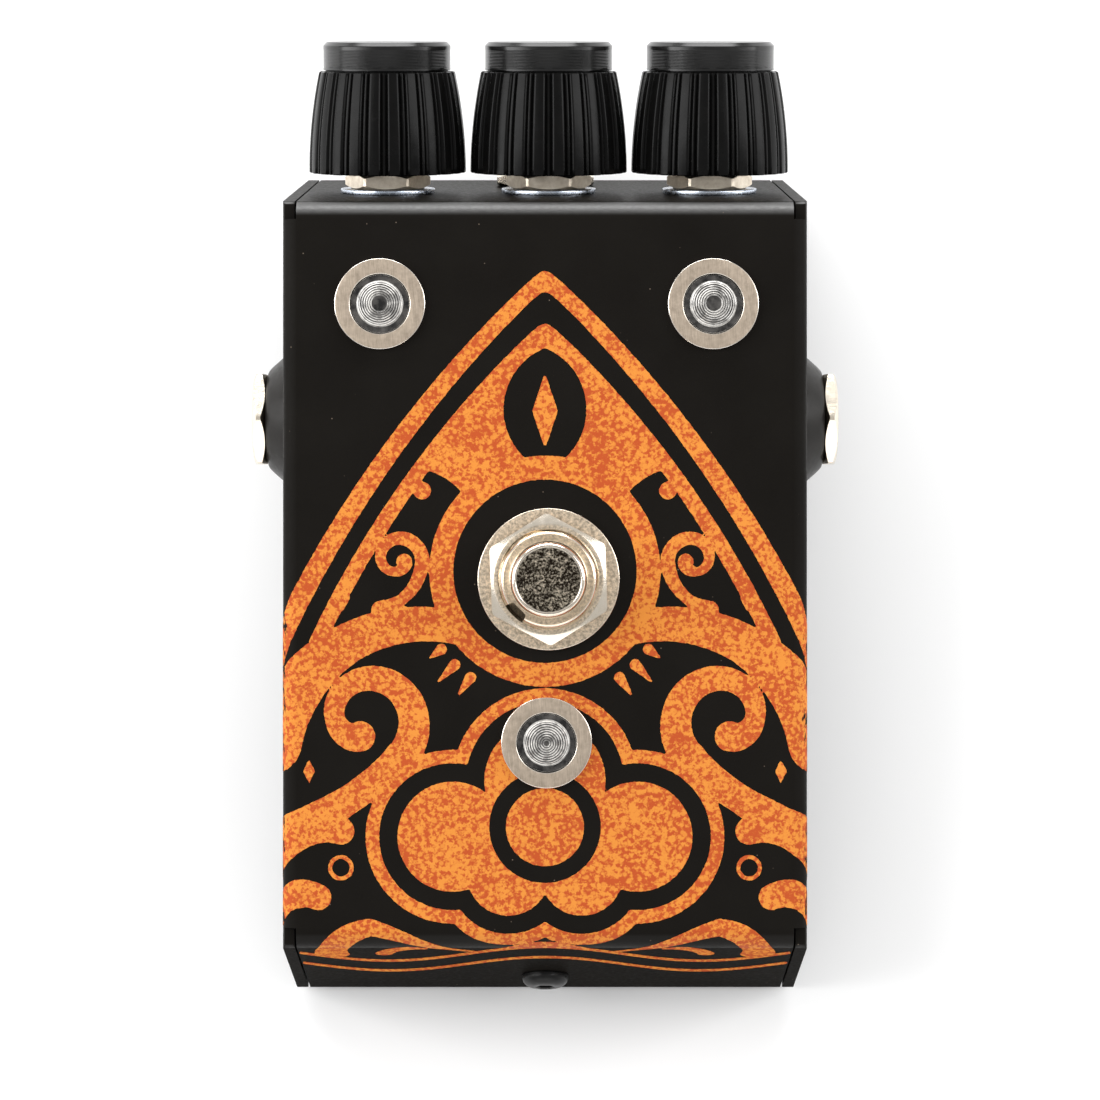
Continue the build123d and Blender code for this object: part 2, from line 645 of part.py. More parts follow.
def main_board():
    """Board under the top face, with a window for the footswitch and slots for pins."""
    low = -BOARD_DEPTH - BOARD_THICK
    corner = (BOARD_HALF_WIDTH, BOARD_BACK_UP, -BOARD_DEPTH)
    board = block((-BOARD_HALF_WIDTH, BOARD_FRONT_UP, low), corner)
    half = BOARD_WINDOW / 2
    window = block((-half, SWITCH_UP - half, low - 1), (half, SWITCH_UP + half, 0))
    board -= Pos(HOLE_SHIFT, 0, 0) * window
    board = TOP_FACE * board
    for x, up in STANDOFF_PLACES:
        board -= on_top(x, up) * disc(BOARD_SCREW_R + 0.1, low - 1, 0)
    for x in KNOB_XS.values():
        for slot in pot_lugs(extra=CONTACT_GAP):
            board -= on_back(x, KNOB_DOWN) * slot
    for pin in jack_contacts(extra=CONTACT_GAP):
        board -= JACK_PLACE * pin
        board -= mirror(JACK_PLACE * pin, about=Plane.YZ)
    return board


def standoff():
    """Hexagon pillar between the top face's inside and the board."""
    pillar = extrude(RegularPolygon(STANDOFF_AF / 2, 6, major_radius=False), BOARD_DEPTH - SHEET)
    return Pos(0, 0, -BOARD_DEPTH) * pillar - disc(BOARD_SCREW_R + BIT, -FAR, -SHEET - 1)


def board_screw():
    """Pan-head screw from below the board into a pillar."""
    low = -BOARD_DEPTH - BOARD_THICK
    head = disc(BOARD_SCREW_HEAD_R, low - BOARD_SCREW_HEAD_HEIGHT, low)
    return head + disc(BOARD_SCREW_R, low, low + BOARD_SCREW_LENGTH)


def hanging_box(size, x, up):
    """Component body below the board."""
    low = -BOARD_DEPTH - BOARD_THICK
    corner = (x - size[0] / 2, up - size[1] / 2, low - size[2])
    return TOP_FACE * block(corner, (x + size[0] / 2, up + size[1] / 2, low))


def electrolytic(x):
    """Round capacitor hanging below the board."""
    low = -BOARD_DEPTH - BOARD_THICK
    return on_top(x, ELECTROLYTIC_UP) * disc(ELECTROLYTIC_R, low - ELECTROLYTIC_HEIGHT, low)


def resistor(x):
    """Axial resistor hanging on its two bent leads below the board, along the slope."""
    reach = RESISTOR_LEAD_REACH
    body = Rot(-90, 0, 0) * disc(RESISTOR_R, -RESISTOR_LENGTH / 2, RESISTOR_LENGTH / 2)
    body += Rot(-90, 0, 0) * disc(RESISTOR_LEAD_R, -reach, reach)
    for end in (-reach, reach):
        body += Pos(0, end, 0) * disc(RESISTOR_LEAD_R, -RESISTOR_LEAD_R, 2 * RESISTOR_R)
    return on_top(x, RESISTOR_UP) * Pos(0, 0, -BOARD_DEPTH - BOARD_THICK - 2 * RESISTOR_R) * body


def switch_ribbon():
    """Ribbon cable from the switch board up to the main board."""
    shelf = -SWITCH_BOARD_DEPTH + RIBBON_THICK / 2
    start = SWITCH_UP - SWITCH_BOARD_SIZE / 2 + 2
    points = [(start, shelf), (RIBBON_UP, shelf), (RIBBON_UP, -BOARD_DEPTH - BOARD_THICK)]
    return TOP_FACE * strip(points, RIBBON_WIDTH, RIBBON_THICK, RIBBON_BEND)


def power_lead():
    """Flat twin lead from the power socket forward and up to the main board."""
    end = TOP_FRONT + UP_SLOPE * LEAD_UP - TOP_NORMAL * (BOARD_DEPTH + BOARD_THICK)
    knee = end - TOP_NORMAL * LEAD_RISE
    rear = (on_back(0, POWER_DOWN) * Pos(0, 0, -SHEET - POWER_BODY_DEPTH)).position
    turn_point = rear - BACK_NORMAL * 1.5 * LEAD_BEND
    points = [(point.Y, point.Z) for point in (rear, turn_point, knee, end)]
    return strip(points, LEAD_WIDTH, LEAD_THICK, LEAD_BEND)


def on_top(x, up):
    """Place on the top face."""
    return TOP_FACE * Pos(x, up, 0)


def on_back(x, down):
    """Place on the back panel."""
    return BACK_FACE * Pos(x, down, 0)


def both_signs(values):
    """Each value with both signs, left to right."""
    return sorted([-v for v in values] + list(values))


def group(shapes):
    """Separate solids that share one node."""
    return Compound(children=list(shapes))


LED_PLACES = {
    "left": (LED_SHIFT - LED_SIDE_X, LED_BACK_UP),
    "right": (LED_SHIFT + LED_SIDE_X, LED_BACK_UP),
    "front": (LED_SHIFT, LED_FRONT_UP),
}
KNOB_XS = {"left": HOLE_SHIFT - KNOB_PITCH, "middle": HOLE_SHIFT, "right": HOLE_SHIFT + KNOB_PITCH}
JACK_PLACE = RIGHT_FACE * Pos(JACK_UP, -JACK_DEPTH, 0)
STANDOFF_PLACES = [(x, up) for x in both_signs([STANDOFF_X]) for up in STANDOFF_UPS]
BASE_SCREW_PLACES = [FRONT_FACE * Pos(0, BASE_SCREW_HEIGHT, 0)]
BASE_SCREW_PLACES += [on_back(x, BACK_LENGTH - BASE_SCREW_HEIGHT) for x in both_signs([BACK_SCREW_X])]


def case_parts():
    """Shell, base plate, screws and feet."""
    feet = [Pos(x, y, 0) * rubber_foot() for x in both_signs([FOOT_X]) for y in FOOT_YS]
    return {
        "top_shell": top_shell(),
        "base_plate": base_plate(),
        "base_screws": group(place * base_screw() for place in BASE_SCREW_PLACES),
        "clinch_nuts": group(place * clinch_nut() for place in BASE_SCREW_PLACES),
        "rubber_feet": group(feet),
    }


def indicator_parts():
    """Lens of each indicator, and their washers and diodes."""
    parts = {}
    for side, (x, up) in LED_PLACES.items():
        parts["led_lens_" + side] = on_top(x, up) * lens()
    washer = tube(LED_WASHER_R, LENS_FLANGE_R + BIT, 0, LED_WASHER_THICK)
    parts["led_washers"] = group(on_top(x, up) * washer for x, up in LED_PLACES.values())
    parts["leds"] = group(on_top(x, up) * led() for x, up in LED_PLACES.values())
    return parts


def footswitch_parts():
    """Footswitch from the plunger down to its board."""
    nut_low = SWITCH_WASHER_THICK
    bore = BUSHING_R + BIT
    inner_high = -SHEET - LOCK_WASHER_THICK
    local = {
        "footswitch_washer": tube(SWITCH_WASHER_R, bore, 0, nut_low),
        "footswitch_nut": hex_nut(SWITCH_NUT_AF, bore, nut_low, nut_low + SWITCH_NUT_HEIGHT),
        "footswitch_lock_washer": tube(SWITCH_WASHER_R, bore, inner_high, -SHEET),
        "footswitch_inner_nut": hex_nut(SWITCH_NUT_AF, bore, inner_high - INNER_NUT_HEIGHT, inner_high),
        "footswitch_bushing": switch_bushing(),
        "footswitch_case": switch_case(),
        "footswitch_lugs": group(switch_lugs()),
        "footswitch_plunger": plunger(),
        "footswitch_spring": spring(),
        "footswitch_board": switch_board(),
    }
    return {name: on_top(HOLE_SHIFT, SWITCH_UP) * shape for name, shape in local.items()}


def knob_parts():
    """Three knobs with their potentiometers."""
    grub = grub_axis(GRUB_R, SHAFT_R + BIT, SHAFT_R + GRUB_LENGTH)
    each = {
        "knob": knob(),
        "knob_cap": knob_cap(),
        "knob_grub_screw": grub,
        "pot_shaft": pot_shaft(),
        "pot_can": pot_can(),
    }
    nut_low = POT_WASHER_THICK
    bore = POT_BUSHING_R + BIT
    shared = {
        "pot_washers": [tube(POT_WASHER_R, bore, 0, nut_low)],
        "pot_nuts": [hex_nut(POT_NUT_AF, bore, nut_low, nut_low + POT_NUT_HEIGHT, POT_NUT_TURN)],
        "pot_wafers": [pot_wafer()],
        "pot_lugs": pot_lugs(),
    }
    parts = {}
    for side, x in KNOB_XS.items():
        for name, shape in each.items():
            parts[name + "_" + side] = on_back(x, KNOB_DOWN) * shape
    for name, shapes in shared.items():
        parts[name] = group(on_back(x, KNOB_DOWN) * s for x in KNOB_XS.values() for s in shapes)
    return parts


def jack_parts():
    """Jack on each side, and the power socket in the back panel."""
    each = {
        "jack_body": [jack_body()],
        "jack_ring": [jack_ring()],
        "jack_contacts": jack_contacts(),
    }
    parts = {}
    for name, shapes in each.items():
        right = [JACK_PLACE * shape for shape in shapes]
        parts[name + "_right"] = group(right)
        parts[name + "_left"] = group(mirror(shape, about=Plane.YZ) for shape in right)
    nut_high = JACK_RING_HEIGHT + JACK_NUT_HEIGHT
    nut = JACK_PLACE * hex_nut(JACK_NUT_AF, JACK_NOSE_R + BIT, JACK_RING_HEIGHT, nut_high)
    parts["jack_nuts"] = group([nut, mirror(nut, about=Plane.YZ)])
    place = on_back(0, POWER_DOWN)
    parts["power_socket"] = place * power_body()
    parts["power_socket_nut"] = place * hex_nut(POWER_NUT_AF, POWER_BODY_R + BIT, 0, POWER_NUT_HEIGHT)
    parts["power_socket_pin"] = place * disc(POWER_PIN_R, -POWER_BORE_DEPTH, POWER_PIN_TOP)
    parts["power_socket_lugs"] = group(place * lug for lug in power_lugs())
    return parts


def board_parts():
    """Main board, what holds it, and what is soldered to it."""
    return {
        "main_board": main_board(),
        "board_standoffs": group(on_top(x, up) * standoff() for x, up in STANDOFF_PLACES),
        "board_screws": group(on_top(x, up) * board_screw() for x, up in STANDOFF_PLACES),
        "board_chips": group(hanging_box(CHIP_SIZE, x, CHIP_UP) for x in both_signs([CHIP_X])),
        "board_electrolytics": group(electrolytic(x) for x in both_signs(ELECTROLYTIC_XS)),
        "board_film_capacitors": group(
            hanging_box(FILM_CAP_SIZE, x, FILM_CAP_UP) for x in both_signs(FILM_CAP_XS)
        ),
        "board_resistors": group(resistor(x) for x in both_signs(RESISTOR_XS)),
        "switch_ribbon": switch_ribbon(),
        "power_lead": power_lead(),
    }


FOOT_YS = (FOOT_INSET, BASE_LENGTH - FOOT_INSET)


def show_place(name, place, to_origin):
    """Print a place in the finished frame, in metres, and its outward direction."""
    moved = to_origin * place
    axis = Plane(moved).z_dir
    position = [round(v / 1000, 6) for v in moved.position]
    print(name, position, [round(v, 6) for v in axis])


def build():
    """Make every part, move it to the finished frame and write it."""
    parts = {}
    for make in (case_parts, indicator_parts, footswitch_parts, knob_parts, jack_parts, board_parts):
        parts.update(make())
    box = Compound(list(parts.values())).bounding_box()
    centre = box.center()
    to_origin = Pos(-centre.X, -centre.Y, -box.min.Z)
    os.makedirs("parts", exist_ok=True)
    for name, shape in parts.items():
        export_step(to_origin * shape, "parts/" + name + ".step")
    print("size", box.size)
    for side, x in KNOB_XS.items():
        show_place("knob_" + side, on_back(x, KNOB_DOWN), to_origin)
    show_place("plunger", on_top(HOLE_SHIFT, SWITCH_UP), to_origin)
    show_place("right jack", JACK_PLACE, to_origin)
    show_place("foot", Pos(FOOT_X, FOOT_INSET, -FOOT_HEIGHT), to_origin)


build()
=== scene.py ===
"""Looks of a compact guitar effects pedal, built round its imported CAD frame.

Shapes are worked out in millimetres, in frames that lie on the faces of the case, and become
metres when a mesh is made.
"""
import json
from math import acos, asin, atan2, copysign, cos, hypot, pi, radians, sin, sqrt, tan

import bmesh
import bpy
import numpy as np
from mathutils import Matrix, Vector


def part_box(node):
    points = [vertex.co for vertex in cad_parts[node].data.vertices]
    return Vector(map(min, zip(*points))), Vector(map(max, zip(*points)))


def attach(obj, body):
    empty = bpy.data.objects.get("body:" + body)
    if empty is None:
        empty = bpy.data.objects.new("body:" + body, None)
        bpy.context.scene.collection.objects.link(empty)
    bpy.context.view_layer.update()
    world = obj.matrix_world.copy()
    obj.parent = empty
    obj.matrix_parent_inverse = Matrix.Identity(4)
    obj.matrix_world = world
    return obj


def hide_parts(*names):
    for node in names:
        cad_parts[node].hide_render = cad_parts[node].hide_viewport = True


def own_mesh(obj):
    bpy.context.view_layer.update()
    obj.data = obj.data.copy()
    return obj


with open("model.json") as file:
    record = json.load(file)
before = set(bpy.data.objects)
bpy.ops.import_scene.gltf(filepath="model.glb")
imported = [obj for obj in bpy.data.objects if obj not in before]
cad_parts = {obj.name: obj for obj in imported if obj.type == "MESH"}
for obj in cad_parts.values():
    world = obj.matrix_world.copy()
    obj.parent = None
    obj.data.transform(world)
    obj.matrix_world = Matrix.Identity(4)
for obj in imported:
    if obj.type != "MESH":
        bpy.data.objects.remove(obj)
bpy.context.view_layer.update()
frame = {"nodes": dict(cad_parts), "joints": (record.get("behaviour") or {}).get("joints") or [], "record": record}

MM = 0.001
NODES = frame["nodes"]
JOINTS = {joint["name"]: joint for joint in frame["joints"]}
SIDES = ("left", "middle", "right")
LED_PLACES = ("left", "right", "front")

# The folded case
CASE_HALF = 33.0
SHEET = 1.5
FRONT_LEAN = radians(6.5)
SIDE_BEND = 2.0
FRONT_BEND = 3.0
CORNER_GAP = 0.25
FRONT_RELIEF = 2.1
SHEET_EDGE = 0.16

# Knobs, measured out from the back panel
RIBS = 24
KNOB_LOW = 2.7
KNOB_TOP = 15.8
KNOB_BASE_R = 10.25
KNOB_MIDDLE_R = 9.9
KNOB_TOP_R = 8.85
CAP_R = 8.3
CAP_TOP = 19.6
POT_WASHER = 0.6
POT_WASHER_R = 6.15
POT_NUT_TOP = 2.6
POT_NUT_FLATS = 9.8
POT_NUT_BORE_R = 3.5

# Footswitch, measured up from the top face
SWITCH_NUT_FLATS = 14.4
SWITCH_WASHER = 1.0
SWITCH_WASHER_R = 8.9
SWITCH_NUT_TOP = 3.2
BUSHING_R = 6.0
BUSHING_TOP = 5.5
PLUNGER_R = 4.62
PLUNGER_TOP = 10.49
PLUNGER_LOW = -5.8
SWITCH_FRAME_DEPTH = 8.5

# Indicators, measured up from the top face
LENS_FLANGE_R = 3.66
LENS_RINGS_R = 2.56
LENS_RING_PITCH = 0.32
LENS_TOP = 1.8
LED_WASHER = 0.8
LED_WASHER_R = 5.7
LED_WASHER_BORE_R = 3.76

# Jacks, measured out from the side walls, and the power socket's nut
JACK_NOSE_R = 4.72
JACK_COLLAR = 3.3
JACK_COLLAR_R = 8.75
JACK_NUT_TOP = 5.1
JACK_NUT_FLATS = 11.7
POWER_NUT = 2.0
POWER_NUT_FLATS = 13.0
POWER_NUT_BORE_R = 5.5

# Screws and feet
BASE_SCREW_UP = 8.5
BACK_SCREW_X = 23.0
SCREW_R = 1.5
SCREW_LENGTH = 7.0
SCREW_HEAD_R = 3.0
SCREW_HEAD = 1.64
SCREW_SOCKET_FLATS = 2.0
FOOT = 2.0
FOOT_R = 5.0

# Camera, measured from the top face's frame
CAMERA_UP = 49.56
CAMERA_RIGHT = 0.63
CAMERA_HEIGHT = 440.0
CAMERA_LENS = 114.8
SENSOR = 36.0

# Soft boxes, all aimed at the object: place, width and height in metres, and power in watts
SOFT_BOXES = {
    "left_box": ((-0.6, 0.05, 0.42), 0.35, 0.8, 4.2),
    "right_box": ((0.6, 0.1, 0.42), 0.3, 0.8, 3.2),
    "back_box": ((-0.1, 0.7, 0.3), 0.9, 0.3, 6.0),
    "front_box": ((0.0, -0.8, 0.3), 0.9, 0.35, 1.3),
}
LIGHT_AIM = Vector((0, 0, 0.02))
STUDIO_LIGHT = 0.55
FLOOR_HALF = 1.5


# Frames on the faces ----------

def face_frame(normal, right, origin):
    """A frame whose x runs along right and whose z runs along the face's normal."""
    up = normal.cross(right)
    turn = Matrix((right, up, normal)).transposed().to_4x4()
    return Matrix.Translation(origin) @ turn


def span(node, direction):
    """How far a CAD node reaches each way along a direction, in millimetres."""
    reach = [vertex.co.dot(direction) / MM for vertex in NODES[node].data.vertices]
    return min(reach), max(reach)


X = Vector((1, 0, 0))
Y = Vector((0, 1, 0))
TOP_NORMAL = -Vector(JOINTS["press_footswitch"]["axis"])
BACK_NORMAL = Vector(JOINTS["turn_knob_middle"]["axis"])
FRONT_UP = Vector((0, sin(FRONT_LEAN), cos(FRONT_LEAN)))
FRONT_NORMAL = X.cross(FRONT_UP)


def top_corner():
    """The sharp corner where the top face and the front panel would meet."""
    level = span("footswitch_washer", TOP_NORMAL)[0]
    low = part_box("top_shell")[0] / MM
    foot = Vector((0, low.y, low.z))
    return foot + FRONT_UP * (level - foot.dot(TOP_NORMAL)) / FRONT_UP.dot(TOP_NORMAL)


TOP = face_frame(TOP_NORMAL, X, top_corner())


def standing(node, face):
    """The frame of a turned piece that stands on a face, from its CAD node."""
    ways = (face.to_3x3() @ X, face.to_3x3() @ Y)
    across, along = (sum(span(node, way)) / 2 - face.translation.dot(way) for way in ways)
    return face @ Matrix.Translation((across, along, 0))


def on_top(node):
    return standing(node, TOP)


def on_knob(side):
    """The frame of a knob: on the back panel, with z along its shaft."""
    return face_frame(BACK_NORMAL, X, Vector(JOINTS["turn_knob_" + side]["pos_m"]) / MM)


def on_side(sign):
    """The frame of a jack: on a side wall, with z outwards."""
    mounts = {mount["name"]: mount for mount in frame["record"]["mounts"]}
    place = Vector(mounts["right_jack"]["pos_m"]) / MM
    place.x *= sign
    return face_frame(X * sign, Y * sign, place)


# Meshes ----------

NUT_CREASE = 20


def bezier(start, control, end, count=16):
    """Points along a curve that leaves start and meets end in the direction of control."""
    start, control, end = Vector(start), Vector(control), Vector(end)
    steps = [step / count for step in range(count + 1)]
    return [start * (1 - t) ** 2 + control * 2 * t * (1 - t) + end * t * t for t in steps]


def soften(outline, radius, steps, closed):
    """Rounds the corners of an outline that don't lie on the axis."""
    count = len(outline)
    points = []
    for index, corner in enumerate(outline):
        ends = not closed and index in (0, count - 1)
        if ends or corner[0] == 0:
            points.append(tuple(corner))
            continue
        here = Vector(corner)
        before = Vector(outline[index - 1]) - here
        after = Vector(outline[(index + 1) % count]) - here
        start = here + before.normalized() * min(radius, before.length * 0.45)
        end = here + after.normalized() * min(radius, after.length * 0.45)
        points += [tuple(point) for point in bezier(start, here, end, steps)]
    return points


def polar(rows, columns=96, closed=True):
    """A shape from rows of (radius, height), or of functions of the angle that give them."""
    points, faces, rings = [], [], []
    for row in rows:
        if not callable(row) and row[0] == 0:
            rings.append([len(points)] * columns)
            points.append((0, 0, row[1]))
            continue
        rings.append(list(range(len(points), len(points) + columns)))
        for column in range(columns):
            angle = 2 * pi * column / columns
            radius, height = row(angle) if callable(row) else row
            points.append((radius * cos(angle), radius * sin(angle), height))
    pairs = list(zip(rings, rings[1:]))
    if closed:
        pairs.append((rings[-1], rings[0]))
    for low, high in pairs:
        for column in range(columns):
            after = (column + 1) % columns
            corners = [low[column], low[after], high[after], high[column]]
            face = list(dict.fromkeys(corners))
            if len(face) > 2:
                faces.append(face)
    return points, faces


def lathe(outline, radius=0.12, columns=96, steps=4):
    """A turned piece: a closed outline, or one that starts and ends on the axis."""
    closed = outline[0][0] > 0
    return polar(soften(outline, radius, steps, closed), columns, closed)


def flat_washer(bore, radius, thickness, edge, columns=96):
    return lathe([(bore, 0), (radius, 0), (radius, thickness), (bore, thickness)], edge, columns)


def hex_radius(flats, angle, turn):
    """Radius at an angle of a hexagon with blunted corners, one of them at turn."""
    sixth = pi / 3
    off = (angle - turn) % sixth - sixth / 2
    return min(flats / 2 / cos(off), flats / sqrt(3) * 0.985)


def hex_nut(flats, bore, low, high, turn=0.0, columns=180, sink=0.3):
    """A nut whose chamfers leave curved flats. Its bore opens by sink at the top."""
    circle = flats * 0.478
    bevel = 0.3
    chamfer = radians(30)

    def edge(height, sign):
        def row(angle):
            radius = hex_radius(flats, angle, turn)
            return radius, height + sign * (radius - circle) * tan(chamfer)
        return row

    rows = [
        (bore, low + bevel), (bore + bevel, low), (circle - 0.08, low), (circle + 0.06, low + 0.05),
        edge(low, 1), edge(high, -1), (circle + 0.06, high - 0.05), (circle - 0.08, high),
        (bore + sink, high), (bore, high - sink * 2),
    ]
    return polar(rows, columns)


def threaded(radius, depth, pitch, height, angle):
    """Radius of a right-handed thread at a height and an angle."""
    phase = (height / pitch - angle / (2 * pi)) % 1
    return radius - depth * abs(2 * phase - 1)


def gathered(shapes):
    """Points and faces of several (shape, place) pairs as one mesh."""
    points, faces = [], []
    for (shape_points, shape_faces), place in shapes:
        start = len(points)
        points += [place @ Vector(point) for point in shape_points]
        faces += [[start + index for index in face] for face in shape_faces]
    return points, faces


def linked(name, data):
    """A new object in the scene."""
    thing = bpy.data.objects.new(name, data)
    bpy.context.scene.collection.objects.link(thing)
    return thing


def add_mesh(name, points, faces, crease=32):
    """An object whose mesh is given in millimetres, smooth except at its sharper edges."""
    mesh = bpy.data.meshes.new(name)
    mesh.from_pydata([point * MM for point in points], [], faces)
    work = bmesh.new()
    work.from_mesh(mesh)
    bmesh.ops.recalc_face_normals(work, faces=work.faces)
    work.to_mesh(mesh)
    work.free()
    mesh.shade_smooth()
    mesh.set_sharp_from_angle(angle=radians(crease))
    return linked(name, mesh)


def add_piece(name, shapes, slot, node, body="case", crease=32, look=None):
    """A visible piece that stands for a CAD node, in its slot's look or one of its own."""
    thing = add_mesh(name, *gathered(shapes), crease)
    thing.data.materials.append(MATERIALS[look or slot])
    declare(thing, node, body)


def copy_node(name, node):
    """A visible piece with the mesh of the CAD node that it stands for."""
    thing = linked(name, NODES[node].data.copy())
    declare(thing, node)
    return thing


def declare(thing, node, body="case"):
    """Sets a piece on the body that it rides on, and hides the CAD node that it stands for."""
    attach(thing, body)
    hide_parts(node)


# Materials ----------

METAL = 1.0
COAT_GRAIN = 0.36
# Where most of a noise's values lie
NOISE_SPAN = (0.3, 0.7)
# Looks by name: each slot's, and a few pieces' own
MATERIALS = {}


def linear(red, green, blue):
    """A colour as seen on a screen, turned into the light values that shaders take."""
    def channel(value):
        return value / 12.92 if value <= 0.04045 else ((value + 0.055) / 1.055) ** 2.4
    return channel(red), channel(green), channel(blue), 1.0


class Look:
    """A node material with short names for the nodes that the looks share.

    Patterns are read in the object's own space, and their sizes are given in millimetres. Colours
    are given as seen on a screen.
    """

    def __init__(self, name, metallic=0.0):
        material = bpy.data.materials.new(name)
        material.use_nodes = True
        self.nodes = material.node_tree.nodes
        self.links = material.node_tree.links
        self.shader = self.nodes["Principled BSDF"]
        self.space = self.node("TexCoord").outputs["Object"]
        self.set("Metallic", metallic)
        MATERIALS[name] = material

    def set(self, name, value):
        """Sets an input of the shader."""
        self.feed(self.shader.inputs[name], value)

    def feed(self, socket, value):
        """Gives a socket another node's output, a colour or a plain value."""
        if isinstance(value, bpy.types.NodeSocket):
            self.links.new(value, socket)
        else:
            socket.default_value = linear(*value) if socket.type == "RGBA" else value

    def node(self, kind, **inputs):
        """A new node with some of its inputs set."""
        node = self.nodes.new("ShaderNode" + kind)
        for name, value in inputs.items():
            self.feed(node.inputs[name], value)
        return node

    def noise(self, size, detail=3.0, roughness=0.55):
        """Soft noise whose features are about size millimetres wide."""
        node = self.node("TexNoise", Vector=self.space, Scale=1 / (size * MM), Detail=detail,
                         Roughness=roughness)
        return node.outputs["Fac"]

    def streaks(self, size, detail, roughness, turn=(0, 0, 0)):
        """Noise with a size for each axis, after a turn, for grain that runs one way."""
        scale = [value * MM for value in size]
        space = self.node("Mapping", Vector=self.space, Rotation=turn, Scale=scale)
        space.vector_type = "TEXTURE"
        node = self.node("TexNoise", Vector=space.outputs["Vector"], Scale=1.0, Detail=detail,
                         Roughness=roughness)
        return node.outputs["Fac"]

    def cells(self, size):
        """Distance from scattered points about size millimetres apart, in parts of that size."""
        return self.node("TexVoronoi", Vector=self.space, Scale=1 / (size * MM)).outputs["Distance"]

    def axis(self, name):
        return self.node("SeparateXYZ", Vector=self.space).outputs[name]

    def facing(self, direction):
        """1 where the surface faces along a direction, 0 where it is side on."""
        node = self.node("VectorMath", Vector=self.node("NewGeometry").outputs["Normal"])
        node.operation = "DOT_PRODUCT"
        node.inputs[1].default_value = direction
        return node.outputs["Value"]

    def math(self, operation, first, second=0.0):
        node = self.node("Math")
        node.operation = operation
        self.feed(node.inputs[0], first)
        self.feed(node.inputs[1], second)
        return node.outputs[0]

    def plus(self, first, second):
        return self.math("ADD", first, second)

    def times(self, first, second):
        return self.math("MULTIPLY", first, second)

    def between(self, value, low, high, to_low=0.0, to_high=1.0):
        """Maps a value's range low to high onto another, held at its ends."""
        node = self.node("MapRange")
        for index, number in enumerate((value, low, high, to_low, to_high)):
            self.feed(node.inputs[index], number)
        return node.outputs[0]

    def mixed(self, factor, first, second):
        """A colour between two."""
        node = self.node("Mix")
        node.data_type = "RGBA"
        self.feed(node.inputs["Factor"], factor)
        for name, value in (("A", first), ("B", second)):
            self.feed([s for s in node.inputs if s.name == name and s.type == "RGBA"][0], value)
        return [s for s in node.outputs if s.type == "RGBA"][0]

    def tint(self, factor, first, second):
        """Colours the surface between two colours."""
        self.set("Base Color", self.mixed(factor, first, second))

    def roughen(self, pattern, low, high):
        """Varies the roughness over a noise."""
        self.set("Roughness", self.between(pattern, *NOISE_SPAN, low, high))

    def bump(self, height, depth, strength):
        """Raises the surface by a height of 0 to 1 times depth in millimetres."""
        node = self.node("Bump", Height=height, Strength=strength, Distance=depth * MM)
        self.set("Normal", node.outputs["Normal"])


def coat_colour(look):
    """Warm black powder coat, with a little dust on it."""
    black = look.mixed(look.noise(9.0), (0.078, 0.070, 0.062), (0.108, 0.100, 0.090))
    near = look.between(look.cells(2.0), 0.05, 0.02)
    chosen = look.between(look.noise(3.0, 1.0), 0.47, 0.55)
    return look.mixed(look.times(near, chosen), black, (0.46, 0.41, 0.36))


def bend_polish(look):
    """Gloss of the coat: least on the front panel, most on the back bend."""
    facing_top = look.facing(TOP_NORMAL)
    off_top = look.between(facing_top, 0.985, 0.93)
    off_panels = look.between(facing_top, 0.36, 0.5)
    off_sides = look.between(look.math("ABSOLUTE", look.facing(X)), 0.22, 0.08, 0.05, 1.0)
    at_back = look.between(look.facing(BACK_NORMAL), 0.18, 0.34, 0.1, 1.0)
    bend = look.times(look.times(look.times(off_top, off_panels), off_sides), at_back)
    flat = look.between(look.facing(FRONT_NORMAL), 0.9, 0.99, 0.028, 0.002)
    return look.math("MAXIMUM", flat, look.between(bend, 0.0, 1.0, 0.0, 0.9))


def black_powder_coat():
    look = Look("black_powder_coat")
    look.set("Base Color", coat_colour(look))
    look.roughen(look.noise(0.5, 4.0), 0.36, 0.5)
    look.set("Specular IOR Level", bend_polish(look))
    look.bump(look.noise(COAT_GRAIN), 0.024, 0.9)


def orange_ink():
    """Two-tone mottled print that wears off over the side bends."""
    look = Look("orange_ink")
    blot = look.noise(0.6, 5.0, 0.62)
    mottle = look.plus(blot, look.times(look.noise(4.5, 2.0), 0.3))
    drops = look.between(look.cells(1.05), 0.36, 0.22, 0.0, 0.85)
    tone = look.math("MAXIMUM", look.between(mottle, 0.61, 0.71), drops)
    orange = look.mixed(tone, (0.725, 0.325, 0.17), (0.865, 0.545, 0.24))
    across = look.math("ABSOLUTE", look.axis("X"))
    bend = look.between(across, (CASE_HALF - 1.6) * MM, (CASE_HALF + 0.3) * MM, 0.0, 0.36)
    scuff = look.streaks((0.6, 2.2, 0.6), 5.0, 0.65)
    worn = look.between(look.plus(scuff, bend), 0.80, 0.84)
    look.tint(worn, orange, coat_colour(look))
    look.roughen(look.noise(0.6), 0.44, 0.56)
    look.set("Specular IOR Level", bend_polish(look))
    look.bump(look.noise(COAT_GRAIN), 0.012, 0.5)


